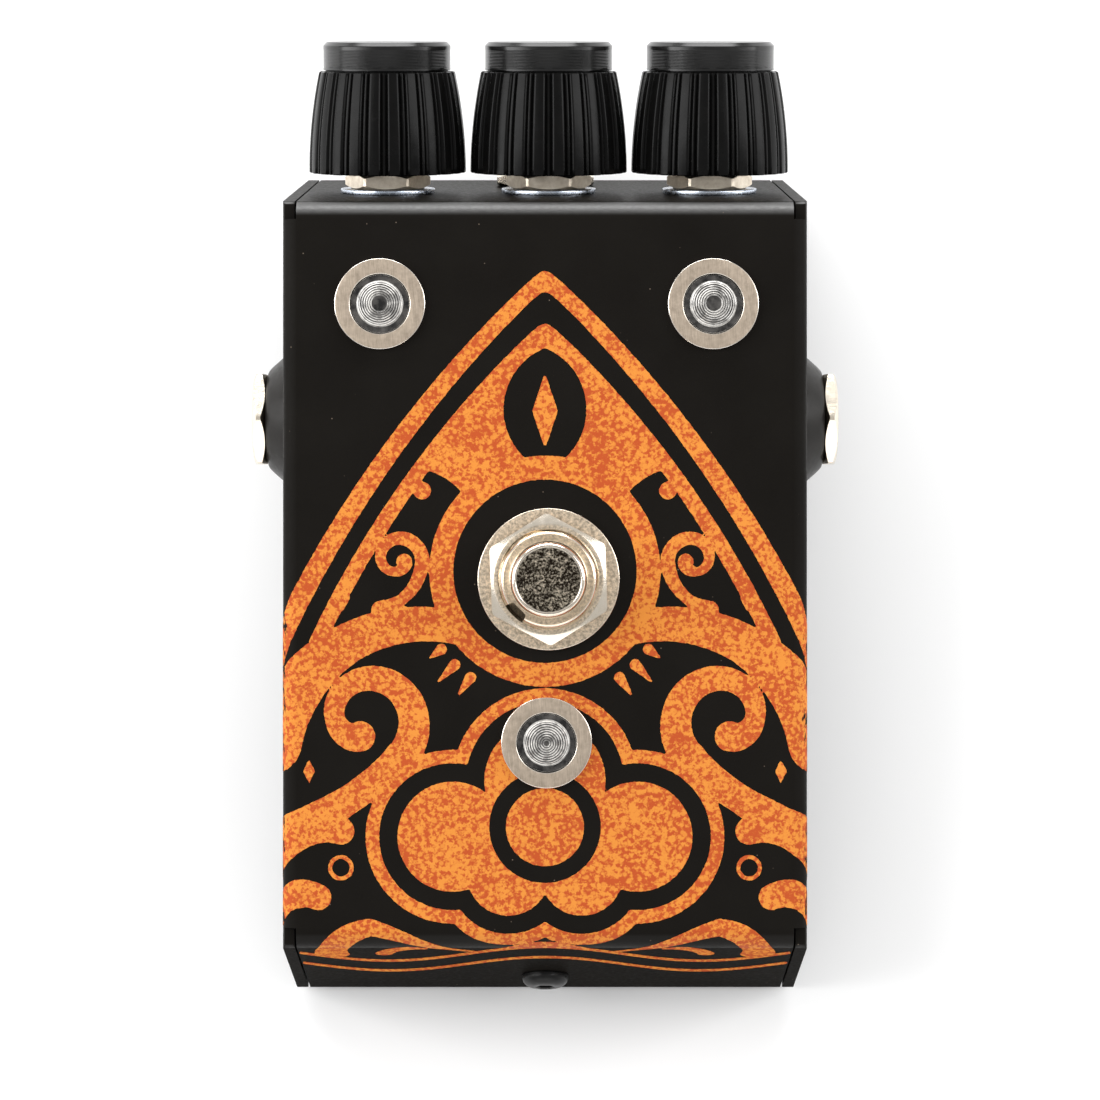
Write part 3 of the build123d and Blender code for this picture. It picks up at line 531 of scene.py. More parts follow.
def nickel(name, flat_colour=(0.96, 0.885, 0.78), flat_rough=0.36, axis=TOP_NORMAL, grain=0.3):
    """Nickel plating, grainy where it lies flat and polished on its edges."""
    look = Look(name, METAL)
    flat = look.between(look.facing(axis), 0.93, 0.995)
    speckle = look.between(look.noise(grain, 4.0, 0.7), 0.36, 0.64)
    dull = look.mixed(speckle, [channel * 0.68 for channel in flat_colour], flat_colour)
    bright = look.mixed(look.noise(1.4), (0.92, 0.87, 0.79), (0.98, 0.94, 0.88))
    look.tint(flat, bright, dull)
    smear = look.between(look.noise(0.9, 5.0), *NOISE_SPAN, -0.05, 0.07)
    polish = look.between(flat, 0.0, 1.0, 0.2, flat_rough)
    look.set("Roughness", look.plus(polish, smear))
    look.bump(speckle, 0.006, 0.45)


def plunger_nickel():
    """Worn nickel: a speckled dark flat inside a bright rim."""
    look = Look("plunger_nickel", METAL)
    flat = look.between(look.facing(TOP_NORMAL), 0.985, 0.999)
    cloud = look.times(look.noise(1.6, 4.0, 0.6), 0.3)
    fleck = look.plus(look.noise(0.3, 3.0, 0.75), cloud)
    dark = look.mixed(look.between(fleck, 0.63, 0.9), (0.15, 0.125, 0.10), (1.0, 0.94, 0.84))
    look.tint(flat, (0.95, 0.905, 0.84), dark)
    look.set("Roughness", look.between(flat, 0.0, 1.0, 0.1, 0.36))
    look.bump(look.noise(0.3, 4.0, 0.7), 0.02, 0.6)


def brushed_washer():
    """Flat steel brushed one way, with its edge broken."""
    look = Look("brushed_washer", METAL)
    lines = look.streaks((0.07, 2.4, 2.4), 4.0, 0.7, (0, 0, 0.08))
    cloud = look.noise(0.8, 4.0, 0.6)
    tone = look.plus(look.times(lines, 0.6), look.times(cloud, 0.4))
    face = look.mixed(look.between(tone, *NOISE_SPAN), (0.62, 0.565, 0.50), (0.86, 0.795, 0.72))
    flat = look.between(look.facing(TOP_NORMAL), 0.93, 0.995)
    look.tint(flat, (0.98, 0.95, 0.91), face)
    dull = look.between(lines, *NOISE_SPAN, 0.4, 0.55)
    look.set("Roughness", look.between(flat, 0.0, 1.0, 0.18, dull))
    look.bump(lines, 0.008, 0.5)


def clear_lens():
    """Clear plastic with painted light: painted shade on its flat window and painted highlights on its slopes."""
    look = Look("clear_lens")
    # Painted light: the slopes' colour is a painted highlight, bright in patches where light would catch them, and
    # the flat window's colour is painted shade for the dark inside seen through it.
    slope = look.between(look.facing(TOP_NORMAL), 0.97, 0.80)
    painted_glint = look.between(look.noise(1.4, 3.0, 0.6), 0.36, 0.56, 0.2, 1.0)
    bright = look.mixed(painted_glint, (0.42, 0.41, 0.40), (1.0, 0.99, 0.97))
    cloud = look.between(look.noise(1.5, 4.0, 0.6), 0.38, 0.66)
    look.tint(slope, look.mixed(cloud, (0.075, 0.072, 0.07), (0.36, 0.35, 0.34)), bright)
    look.set("Transmission Weight", 0.15)
    look.set("IOR", 1.49)
    look.roughen(look.noise(0.8), 0.04, 0.1)
    look.bump(look.noise(0.5, 2.0), 0.004, 0.3)


def black_anodised():
    look = Look("black_anodised")
    streak = look.streaks((3.0, 0.12, 0.12), 3.0, 0.6)
    look.tint(streak, (0.035, 0.035, 0.035), (0.09, 0.088, 0.085))
    look.roughen(streak, 0.15, 0.27)
    look.set("Specular IOR Level", 0.42)
    look.bump(look.noise(0.25), 0.004, 0.4)


def cloudy(name, dark, light, rough, cloud, grain, bump, metallic=0.0, shine=0.5, haze=None):
    """Two close tones in soft clouds over a fine grain, with a roughness that varies."""
    look = Look(name, metallic)
    clouds = look.noise(*cloud)
    look.tint(clouds, dark, light)
    look.roughen(look.noise(*haze) if haze else clouds, *rough)
    look.set("Specular IOR Level", shine)
    look.bump(look.noise(*grain), *bump)


def satin_plastic(name, dark, light, rough, grain=0.35, shine=0.5):
    """Moulded or lacquered plastic, or rubber."""
    cloudy(name, dark, light, (rough - 0.08, rough + 0.08), (2.0, 4.0), (grain,), (0.01, 0.5),
           shine=shine, haze=(0.7, 4.0))


def drawn_metal(name, dark, light):
    """Plated or tinned metal, drawn along its length."""
    look = Look(name, METAL)
    streak = look.streaks((0.25, 1.5, 0.25), 4.0, 0.6)
    look.tint(streak, dark, light)
    look.roughen(look.noise(0.5), 0.2, 0.38)
    look.bump(streak, 0.004, 0.4)


def circuit_board():
    """Green solder mask over copper tracks that run both ways."""
    look = Look("circuit_board")
    across = look.streaks((6.0, 0.9, 6.0), 1.0, 0.5)
    along = look.streaks((0.9, 6.0, 6.0), 1.0, 0.5)
    tracks = look.between(look.math("MAXIMUM", across, along), 0.56, 0.58)
    look.tint(tracks, (0.02, 0.2, 0.1), (0.1, 0.38, 0.2))
    look.roughen(look.noise(0.4), 0.22, 0.34)
    look.bump(tracks, 0.03, 0.6)


def resistor_body():
    """Blue lacquer with narrow bands across it."""
    look = Look("resistor_body")
    pitch = 1.3
    band = look.math("FRACT", look.times(look.axis("Y"), 1 / (pitch * MM)))
    mark = look.between(look.math("ABSOLUTE", look.math("SUBTRACT", band, 0.5)), 0.12, 0.10)
    lacquer = look.mixed(look.noise(0.8), (0.38, 0.55, 0.66), (0.50, 0.67, 0.76))
    look.tint(mark, lacquer, (0.4, 0.2, 0.08))
    look.set("Roughness", 0.3)
    look.bump(look.noise(0.4), 0.01, 0.4)


def ribbon_grey():
    """Grey ribbon cable, ridged along its cores, with painted shade in the grooves between them and a painted
    highlight on their crests.
    """
    look = Look("ribbon_grey")
    pitch = 1.27
    cores = look.math("SINE", look.times(look.axis("X"), 2 * pi / (pitch * MM)))
    tone = look.between(cores, -1.0, 1.0)
    # Painted shade and highlight: the colour follows the ridges' height, darker in the grooves and lighter on the
    # crests.
    look.tint(tone, (0.5, 0.5, 0.51), (0.68, 0.68, 0.69))
    look.set("Roughness", 0.5)
    look.bump(tone, 0.15, 0.8)


def make_looks():
    black_powder_coat()
    orange_ink()
    nickel("bright_nickel")
    nickel("washer_nickel", (0.95, 0.87, 0.765), 0.44, grain=0.4)
    nickel("jack_nickel", (0.90, 0.88, 0.83), 0.22, X)
    plunger_nickel()
    cloudy("control_nickel", (0.78, 0.72, 0.64), (1.0, 0.96, 0.89), (0.5, 0.28), (0.8, 5.0, 0.65),
           (0.3, 4.0, 0.7), (0.012, 0.6), METAL)
    cloudy("zinc_plate", (0.66, 0.71, 0.80), (0.93, 0.95, 0.97), (0.18, 0.32), (1.8, 4.0), (0.2,),
           (0.004, 0.5), METAL, haze=(0.4, 4.0))
    cloudy("black_oxide", (0.07, 0.07, 0.072), (0.15, 0.147, 0.143), (0.28, 0.45), (0.8, 4.0), (0.15,),
           (0.004, 0.5), 0.6)
    cloudy("black_phenolic", (0.025, 0.025, 0.025), (0.06, 0.058, 0.056), (0.18, 0.3), (2.2, 5.0, 0.6),
           (0.6,), (0.006, 0.4), shine=0.11)
    brushed_washer()
    clear_lens()
    black_anodised()
    satin_plastic("black_moulding", (0.10, 0.094, 0.088), (0.15, 0.14, 0.13), 0.36, shine=0.2)
    satin_plastic("black_rubber", (0.1, 0.1, 0.1), (0.15, 0.15, 0.15), 0.75, 0.2)
    satin_plastic("switch_case_blue", (0.1, 0.2, 0.45), (0.14, 0.26, 0.55), 0.3)
    satin_plastic("capacitor_sleeve", (0.1, 0.13, 0.2), (0.14, 0.18, 0.26), 0.28)
    satin_plastic("film_capacitor", (0.78, 0.64, 0.28), (0.86, 0.74, 0.36), 0.4)
    satin_plastic("lead_red", (0.55, 0.08, 0.07), (0.7, 0.12, 0.1), 0.4)
    satin_plastic("phenolic", (0.38, 0.22, 0.12), (0.5, 0.3, 0.16), 0.5)
    drawn_metal("spring_steel", (0.5, 0.5, 0.5), (0.75, 0.75, 0.74))
    drawn_metal("solder_lugs", (0.68, 0.6, 0.42), (0.9, 0.84, 0.66))
    circuit_board()
    resistor_body()
    ribbon_grey()


def dress_frame():
    """Gives each CAD node the look that its record slot names."""
    for part in frame["record"]["subparts"]:
        node = NODES[part["node"]]
        node.data.materials.clear()
        node.data.materials.append(MATERIALS[part["material_slot"]])


# The case ----------

def folded_sheet(name, node):
    """A CAD sheet part with its raw edges broken by a small bevel."""
    thing = copy_node(name, node)
    raw_edge = radians(46)
    work = bmesh.new()
    work.from_mesh(thing.data)
    bmesh.ops.remove_doubles(work, verts=work.verts, dist=0.002 * MM)
    bmesh.ops.dissolve_limit(work, verts=work.verts, edges=work.edges, angle_limit=radians(1))
    sharp = [edge for edge in work.edges if edge.is_manifold and edge.calc_face_angle() > raw_edge]
    bmesh.ops.bevel(
        work, geom=sharp, offset=SHEET_EDGE * MM, segments=2, profile=0.5, affect="EDGES",
        clamp_overlap=True,
    )
    work.to_mesh(thing.data)
    work.free()
    thing.data.shade_smooth()
    thing.data.set_sharp_from_angle(angle=radians(40))
    thing.modifiers.new("flat_faces", "WEIGHTED_NORMAL").keep_sharp = True


# Knobs ----------

def rib_depth(angle):
    """How deep the skirt's surface lies at an angle: wide ribs, a narrow one in each groove."""
    pitch = 2 * pi / RIBS
    off = abs((angle / pitch) % 1 - 0.5) * 2
    places = [0, 0.42, 0.54, 0.60, 0.70, 0.76, 0.86, 0.92, 1]
    depths = [0, 0.01, 0.05, 0.16, 0.44, 0.44, 0.20, 0.14, 0.13]
    return float(np.interp(off, places, depths))


def skirt_radius(height):
    """The skirt's convex side: a curve through its base, middle and top radii."""
    t = (height - KNOB_LOW) / (KNOB_TOP - KNOB_LOW)
    ends = KNOB_BASE_R * (1 - t) + KNOB_TOP_R * t
    crown = (KNOB_MIDDLE_R - (KNOB_BASE_R + KNOB_TOP_R) / 2) * 4 * t * (1 - t)
    return ends + crown


def knob_skirt():
    """A fluted skirt, hollow underneath."""
    edge = 0.12

    def side(height, inset=0.0, share=1.0):
        def row(angle):
            return skirt_radius(height) - inset - share * rib_depth(angle), height
        return row

    hub = 3.25
    wall = 7.6
    rows = [
        (hub, KNOB_LOW + 2.0), (hub, KNOB_LOW + 0.3), (hub + 0.2, KNOB_LOW + 0.1),
        (5.0, KNOB_LOW + 0.1), (5.2, KNOB_LOW + 0.3), (5.2, 12.0), (wall, 12.0),
        (wall + 0.3, KNOB_LOW + 0.6), (wall + 0.5, KNOB_LOW + 0.05), (wall + 0.9, KNOB_LOW),
        side(KNOB_LOW, edge),
    ]
    steps = 18
    for step in range(steps + 1):
        rows.append(side(KNOB_LOW + edge + (KNOB_TOP - KNOB_LOW - 2 * edge) * step / steps))
    rows += [side(KNOB_TOP, edge * 1.4), (KNOB_TOP_R - 1.3, KNOB_TOP), (hub, KNOB_TOP)]
    return polar(rows, RIBS * 24)


def knob_cap():
    """A turned cap with fine lines round it, a chamfer and brushed rings."""
    lines = 13
    low = KNOB_TOP + 0.02
    line_low = low + 0.4
    line_top = CAP_TOP - 0.95
    outline = [(0, low), (CAP_R - 0.35, low), (CAP_R - 0.35, low + 0.12), (CAP_R, low + 0.14)]
    pitch = (line_top - line_low) / lines
    for line in range(lines):
        height = line_low + pitch * line
        outline += [(CAP_R, height), (CAP_R - 0.07, height + pitch * 0.3)]
        outline += [(CAP_R, height + pitch * 0.6)]
    outline += [(CAP_R, line_top), (CAP_R, CAP_TOP - 0.5), (CAP_R - 0.5, CAP_TOP)]
    rings = 10
    for ring in range(rings):
        radius = (CAP_R - 1.2) * (1 - ring / rings)
        outline += [(radius, CAP_TOP), (radius - 0.18, CAP_TOP - 0.025), (radius - 0.36, CAP_TOP)]
    outline += [(0, CAP_TOP)]
    return polar(soften(outline, 0.05, 1, False), 160, False)


def add_knobs():
    for side in SIDES:
        place = on_knob(side)
        body = "knob_body_" + side
        add_piece("knob_skirt_" + side, [(knob_skirt(), place)], "black_phenolic", "knob_" + side, body, 40)
        add_piece("knob_top_" + side, [(knob_cap(), place)], "black_anodised", "knob_cap_" + side, body, 17)
    places = [on_knob(side) for side in SIDES]
    washer = flat_washer(3.6, POT_WASHER_R, POT_WASHER, 0.12)
    nut = hex_nut(POT_NUT_FLATS, POT_NUT_BORE_R, POT_WASHER, POT_NUT_TOP)
    add_piece("control_washers", [(washer, place) for place in places], "zinc_plate", "pot_washers")
    add_piece("control_nuts", [(nut, place) for place in places], "bright_nickel", "pot_nuts",
              crease=NUT_CREASE, look="control_nickel")


# Footswitch ----------

def bushing():
    """The threaded bushing, with its keyway and a dished top."""
    key_angle = radians(-135)
    key_half = asin(1.3 / BUSHING_R)
    pitch = 0.75
    thread = 0.38

    def notch(radius, angle):
        off = (angle - key_angle + pi) % (2 * pi) - pi
        return min(radius, (BUSHING_R - 0.9) / cos(off)) if abs(off) < key_half else radius

    def wall(height):
        return lambda angle: (notch(threaded(BUSHING_R, thread, pitch, height, angle), angle), height)

    def rim(radius, height):
        return lambda angle: (notch(radius, angle), height)

    bore = 4.7
    low = -SWITCH_FRAME_DEPTH
    rows = [(bore, low)]
    steps = 120
    for step in range(steps + 1):
        rows.append(wall(low + (BUSHING_TOP - 0.55 - low) * step / steps))
    for inset, drop in ((0.03, 0.4), (0.07, 0.22), (0.17, 0.07), (0.3, 0), (0.38, 0.06), (0.42, 0.07)):
        rows.append(rim(BUSHING_R - inset, BUSHING_TOP - drop))
    rows += [
        rim(bore + 0.16, BUSHING_TOP - 0.07), (bore + 0.05, BUSHING_TOP - 0.13), (bore, BUSHING_TOP - 0.3),
    ]
    return polar(rows, 240)


def plate(half_x, half_y, low, high, hole=None):
    """A flat plate with softened edges and perhaps a round hole."""
    edge = 0.08

    def rim(inset, height):
        def row(angle):
            reach_x = (half_x - inset) / max(abs(cos(angle)), 1e-6)
            reach_y = (half_y - inset) / max(abs(sin(angle)), 1e-6)
            return min(reach_x, reach_y), height
        return row

    rows = [rim(edge, low), rim(0, low + edge), rim(0, high - edge), rim(edge, high)]
    if hole:
        return polar([(hole, low)] + rows + [(hole, high)])
    return polar([(0, low)] + rows + [(0, high)], closed=False)


def switch_frame():
    """The switch's metal frame: a plate and a leg on each side."""
    half = 8.6
    low = -SWITCH_FRAME_DEPTH - 1.0
    shapes = [(plate(half, half, low, -SWITCH_FRAME_DEPTH, 3.3), Matrix.Identity(4))]
    for side in (-1, 1):
        leg = plate(0.25, half / 2, low - 6.5, low)
        shapes.append((leg, Matrix.Translation((side * (half - 0.25), 0, 0))))
    return gathered(shapes)


def plunger():
    """The round cap that the foot presses, with a rolled rim."""
    outline = [(0, 1.5), (3.3, 1.5), (3.3, PLUNGER_LOW), (PLUNGER_R, PLUNGER_LOW)]
    for inset, drop in ((0, 0.62), (0.1, 0.28), (0.32, 0.06), (0.5, 0), (0.62, 0.07)):
        outline.append((PLUNGER_R - inset, PLUNGER_TOP - drop))
    outline.append((0, PLUNGER_TOP - 0.08))
    return lathe(outline, 0.2, 144, 4)


def add_footswitch():
    place = on_top("footswitch_washer")
    washer = flat_washer(BUSHING_R + 0.1, SWITCH_WASHER_R, SWITCH_WASHER, 0.14, 144)
    add_piece("switch_washer", [(washer, place)], "bright_nickel", "footswitch_washer",
              look="washer_nickel")
    corner = radians(92)
    nut = hex_nut(SWITCH_NUT_FLATS, BUSHING_R - 0.1, SWITCH_WASHER, SWITCH_NUT_TOP, corner, 360, 0.42)
    add_piece("switch_nut", [(nut, place)], "bright_nickel", "footswitch_nut", crease=NUT_CREASE)
    add_piece("switch_plunger", [(plunger(), place)], "bright_nickel", "footswitch_plunger",
              "plunger_body", look="plunger_nickel")
    add_piece("switch_bushing", [(bushing(), place), (switch_frame(), place)], "bright_nickel",
              "footswitch_bushing", crease=40)


def add_spring():
    """The switch's spring, copied from its CAD node, with a mesh of its own."""
    thing = copy_node("switch_spring", "footswitch_spring")
    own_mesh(thing)


# Indicators ----------

def lens(window):
    """A lens with a flange, and fine rings that step up round a flat window."""
    low = 1.34
    outline = [(0, 0.02), (LENS_FLANGE_R, 0.02), (LENS_FLANGE_R, 0.5), (2.92, 0.52), (2.86, 0.6)]
    outline += [(2.8, 1.2), (2.64, low)]
    slope = 0.13
    rings = round((LENS_RINGS_R - window) / LENS_RING_PITCH)
    pitch = (LENS_RINGS_R - window) / rings
    for ring in range(rings):
        radius = LENS_RINGS_R - pitch * ring
        rise = low + (LENS_TOP - low) * sin(pi / 2 * (ring + 1) / rings)
        outline += [(radius, rise - 0.14), (radius - slope, rise), (radius - pitch + 0.02, rise)]
    outline += [(window, LENS_TOP - 0.1), (window - slope, LENS_TOP), (0, LENS_TOP - 0.01)]
    return lathe(outline, 0.02, 128, 1)


def add_indicators():
    washer = flat_washer(LED_WASHER_BORE_R, LED_WASHER_R, LED_WASHER, 0.13, 128)
    places = [on_top("led_lens_" + name) for name in LED_PLACES]
    add_piece("indicator_washers", [(washer, place) for place in places], "brushed_washer", "led_washers")
    for name, place in zip(LED_PLACES, places):
        window = 0.45 if name == "front" else 1.1
        add_piece("indicator_lens_" + name, [(lens(window), place)], "clear_lens", "led_lens_" + name,
                  crease=20)


# Jacks and power socket ----------

def jack_collar():
    """The tapered ring round a jack's nose."""
    bore = JACK_NOSE_R + 0.03
    outline = [
        (bore, 0), (JACK_COLLAR_R, 0), (JACK_COLLAR_R - 0.03, 0.6), (7.95, 1.5), (6.8, 2.8),
        (6.2, JACK_COLLAR), (bore, JACK_COLLAR),
    ]
    return lathe(outline, 0.35, 144)


def jack_nut(sign):
    """A nut with one corner straight above the top face's slope."""
    lean = atan2(-TOP_NORMAL.y, TOP_NORMAL.z)
    return hex_nut(JACK_NUT_FLATS, JACK_NOSE_R, JACK_COLLAR, JACK_NUT_TOP, pi / 2 + lean * sign)


def add_jacks():
    for name, sign in (("right", 1), ("left", -1)):
        add_piece("jack_collar_" + name, [(jack_collar(), on_side(sign))], "black_moulding",
                  "jack_ring_" + name, crease=28)
    add_piece("jack_hex_nuts", [(jack_nut(sign), on_side(sign)) for sign in (1, -1)], "bright_nickel",
              "jack_nuts", crease=NUT_CREASE, look="jack_nickel")


# Fasteners and feet ----------

def base_screw():
    """A button-head screw with a hexagon socket and a threaded shank."""
    def socket(inset, height):
        return lambda angle: (hex_radius(SCREW_SOCKET_FLATS - inset, angle, 0), height)

    def thread(height):
        return lambda angle: (threaded(SCREW_R, 0.27, 0.5, height, angle), height)

    rows = [(0, -SCREW_LENGTH), (SCREW_R - 0.4, -SCREW_LENGTH)]
    steps = 96
    for step in range(1, steps):
        rows.append(thread(-SCREW_LENGTH + SCREW_LENGTH * step / steps))
    rows += [(SCREW_R, 0.0)]
    head = [(SCREW_HEAD_R - 0.1, 0), (SCREW_HEAD_R, 0.12), (SCREW_HEAD_R, 0.4)]
    doming = 10
    for step in range(1, doming + 1):
        angle = pi / 2 * step / doming
        radius = 1.45 + (SCREW_HEAD_R - 1.45) * cos(angle)
        head.append((radius, 0.4 + (SCREW_HEAD - 0.4) * sin(angle)))
    rows += head + [socket(-0.3, SCREW_HEAD), socket(0, SCREW_HEAD - 0.15), socket(0, SCREW_HEAD - 1.2)]
    rows += [(0, SCREW_HEAD - 1.35)]
    return polar(rows, 72, False)


def rubber_foot():
    """A round bumper with a softened edge and two rings pressed into its underside."""
    outline = [
        (0, FOOT), (FOOT_R, FOOT), (FOOT_R, FOOT - 0.3), (FOOT_R - 0.35, 0.12), (FOOT_R - 0.7, 0),
        (3.4, 0), (3.25, 0.18), (3.0, 0.18), (2.85, 0), (1.5, 0), (1.35, 0.18), (0, 0.18),
    ]
    return lathe(outline, 0.1, 96, 3)


def add_fasteners():
    case_low, case_high = (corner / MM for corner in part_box("top_shell"))
    back_up = BACK_NORMAL.cross(-X)
    front = Vector((0, case_low.y, case_low.z)) + FRONT_UP * BASE_SCREW_UP
    back = Vector((0, case_high.y, case_low.z)) + back_up * BASE_SCREW_UP
    places = [face_frame(FRONT_NORMAL, X, front)]
    places += [face_frame(BACK_NORMAL, X, back + X * BACK_SCREW_X * side) for side in (-1, 1)]
    add_piece("case_screws", [(base_screw(), place) for place in places], "black_oxide", "base_screws",
              crease=25)
    foot_low, foot_high = (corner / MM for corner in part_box("rubber_feet"))
    spots = [(x, y, foot_low.z) for x in (foot_low.x + FOOT_R, foot_high.x - FOOT_R)
             for y in (foot_low.y + FOOT_R, foot_high.y - FOOT_R)]
    add_piece("case_feet", [(rubber_foot(), Matrix.Translation(spot)) for spot in spots], "black_rubber",
              "rubber_feet")
    nut = hex_nut(POWER_NUT_FLATS, POWER_NUT_BORE_R, 0, POWER_NUT, pi / 2)
    add_piece("power_nut", [(nut, standing("power_socket_nut", on_knob("middle")))], "bright_nickel",
              "power_socket_nut", crease=NUT_CREASE)


# Printed ornament ----------
# Drawn on the unfolded sheet: u runs across from the middle of the top face and v up its slope
# from the front corner. A distance below nought is inked. The left half mirrors the right.

def volute(centre, first_radius, last_radius, first_angle, last_angle, count=36):
    """Points along a spiral, with its angles in degrees."""
    points = []
    for step in range(count + 1):
        t = step / count
        angle = radians(first_angle + (last_angle - first_angle) * t)
        radius = first_radius + (last_radius - first_radius) * t ** 0.8
        points.append(Vector((centre[0] + radius * cos(angle), centre[1] + radius * sin(angle))))
    return points


def union(*shapes):
    return np.minimum.reduce(shapes)


def common(*shapes):
    return np.maximum.reduce(shapes)


class Sheet:
    """The unfolded sheet as a grid of points, and the distances of plain shapes over it."""

    def __init__(self, step, reach, low, high):
        self.across = np.arange(-reach, reach + step / 2, step)
        self.along = np.arange(low, high, step)
        self.u, self.v = np.meshgrid(self.across, self.along)
        self.side = np.abs(self.u)

    def disc(self, centre, radius):
        return np.hypot(self.side - centre[0], self.v - centre[1]) - radius

    def ogive(self, top, foot, radius):
        """Below an arch from foot on each side to height top, with its point blunted a little."""
        a, b = Vector((0, top)), Vector(foot)
        chord = b - a
        out = Vector((chord.y, -chord.x)).normalized()
        rise = sqrt(radius ** 2 - (chord.length / 2) ** 2)
        centre = (a + b) / 2 + out * rise
        return np.hypot(np.hypot(self.u, ARCH_BLUNT) - centre.x, self.v - centre.y) - radius

    def hole(self, node, radius):
        """Outside a round hole under a piece that stands on the top face."""
        centre = TOP.inverted() @ on_top(node).translation
        return radius - np.hypot(self.u - centre.x, self.v - centre.y)

    def pointed_oval(self, height, length, width):
        radius = (length ** 2 + width ** 2) / (4 * width)
        return np.hypot(self.side + radius - width / 2, self.v - height) - radius

    def lozenge(self, centre, half_width, half_height):
        long = hypot(half_width, half_height)
        off = np.abs(self.side - centre[0]) * half_height + np.abs(self.v - centre[1]) * half_width
        return (off - half_width * half_height) / long

    def stroke(self, points, widths):
        """A band along a line. Its half widths are spaced evenly along it."""
        count = len(points) - 1
        places = np.linspace(0, len(widths) - 1, count + 1)
        halves = np.interp(places, range(len(widths)), widths)
        best = np.full(self.u.shape, 99.0)
        for index in range(count):
            a, b = points[index], points[index + 1]
            edge = b - a
            share = (self.side - a.x) * edge.x + (self.v - a.y) * edge.y
            share = np.clip(share / edge.length_squared, 0, 1)
            gap = np.hypot(self.side - a.x - share * edge.x, self.v - a.y - share * edge.y)
            best = np.minimum(best, gap - halves[index] - share * (halves[index + 1] - halves[index]))
        return best

    def wave(self, level):
        """A border line that waves across the front."""
        middle_line = level + BORDER_RISE * np.cos(2 * pi * self.u / BORDER_WAVE)
        return np.abs(self.v - middle_line) - BORDER_HALF


INK_STEP = 0.265
INK_THICK = 0.035
INK_SUNK = 0.01
ARCH_BLUNT = 0.7
DISC_UP = 46.9
LED_HOLE_R = 4.6
DISC_R = 11.5
RING_R = 14.5
BORDER_WAVE = 40.0
BORDER_RISE = 4.4
BORDER_HALF = 0.72
BORDER_LEVELS = (-4.9, -11.4)
PRINT_SIDE = CASE_HALF - SIDE_BEND + SIDE_BEND * pi / 2 + 1.5
PRINT_LOW = -17.5
PRINT_HIGH = 87.0


def arch(sheet):
    """Two nested pointed arches, the inner one filled in."""
    outer = sheet.ogive(85.2, (33.2, 41.4), 150)
    outer_hole = sheet.ogive(82.6, (32.6, 36.6), 150)
    inner = sheet.ogive(78.6, (29.4, 38.6), 130)
    inner_hole = sheet.ogive(76.1, (27.2, 38.6), 130)
    ring = sheet.disc((0, DISC_UP), RING_R)
    wing_path = volute((15.6, 21.0), 19.4, 19.0, 112, 13)
    wing = sheet.stroke(wing_path, [2.0, 2.2, 2.5, 3.2, 3.6])
    under = common(42.0 - sheet.v, sheet.side - 40)
    lobe = common(inner_hole, -ring, sheet.disc((17.6, 50.4), 9.6), -wing)
    pocket = common(inner_hole + 0.2, sheet.disc((26.0, 42.0), 3.4), -wing)
    oval = sheet.pointed_oval(67.2, 15.4, 10.4)
    field = common(inner, under, -lobe, -oval, -pocket)
    band = common(outer, -outer_hole)
    frame_band = common(inner, -inner_hole, 38.0 - sheet.v)
    curl = sheet.stroke(volute((18.5, 48.4), 0.9, 3.2, -160, 200), [1.0, 0.55, 0.7, 0.85, 0.9])
    stem = sheet.stroke(bezier((15.5, 47.3), (16.4, 43.4), (20.6, 42.0)), [0.9, 0.8, 0.7, 1.2])
    jewels = union(sheet.lozenge((0, 67.0), 1.6, 4.8), sheet.disc((15.4, 57.0), 1.1))
    inked = union(band, frame_band, field, ring, wing, curl, stem, jewels)
    return common(inked, DISC_R - np.hypot(sheet.side, sheet.v - DISC_UP))


def rays(sheet):
    """Short tapered marks under the ring."""
    marks = []
    for degrees, length in ((-37, 1.7), (-46, 2.9), (-55, 2.6)):
        way = Vector((cos(radians(degrees)), sin(radians(degrees))))
        start = Vector((0, DISC_UP)) + way * (RING_R + 1.8)
        marks.append(sheet.stroke([start, start + way * length], [0.72, 0.12]))
    return union(*marks)


def scrolls(sheet):
    """A large volute on each side, its tail and the leaves under it."""
    curl = sheet.stroke(volute((22.6, 28.4), 2.3, 6.7, -75, 226), [1.9, 1.25, 1.45, 1.8, 2.1])
    tail = sheet.stroke(bezier((18.0, 23.6), (22.4, 18.6), (35.5, 12.2)), [2.1, 1.9, 1.8, 2.2, 2.8])
    leaf = sheet.stroke(bezier((35.6, 8.6), (31.0, 16.4), (25.6, 14.3)), [1.3, 1.9, 2.0, 1.7])
    low_leaf = sheet.stroke(bezier((34.6, 2.6), (32.4, 7.8), (28.4, 6.0)), [1.0, 1.5, 1.8, 1.6])
    bead = np.abs(sheet.disc((25.6, 9.7), 1.35)) - 0.25
    spark = sheet.lozenge((29.6, 21.8), 0.75, 1.5)
    return union(curl, tail, leaf, low_leaf, bead, spark)


def cartouche(sheet):
    """A lobed field with a round boss, inside an outline of the same shape."""
    lobes = [((0, 20.6), 7.6), ((11.6, 13.6), 6.9), ((4.6, 8.9), 5.2)]
    field = union(*[sheet.disc(centre, radius) for centre, radius in lobes])
    outline = np.abs(field - 3.15) - 0.85
    boss = sheet.disc((0, 14.8), 7.0)
    return union(outline, common(field, -boss), sheet.disc((0, 14.8), 4.9))


def border(sheet):
    """Wavy lines across the front bend and a curled leaf on each side."""
    lines = union(*[sheet.wave(level) for level in BORDER_LEVELS])
    back = bezier((8.6, -3.6), (17.5, 1.2), (22.0, 2.2), 10)
    back += bezier((22.0, 2.2), (27.6, 1.0), (27.0, -5.0), 10)[1:]
    leaf = sheet.stroke(back, [0.3, 0.7, 1.1, 1.7, 2.2])
    curl = sheet.stroke(bezier((15.0, -1.6), (19.2, -1.0), (20.4, -4.6)), [0.3, 0.9, 1.1])
    return union(lines, leaf, curl)


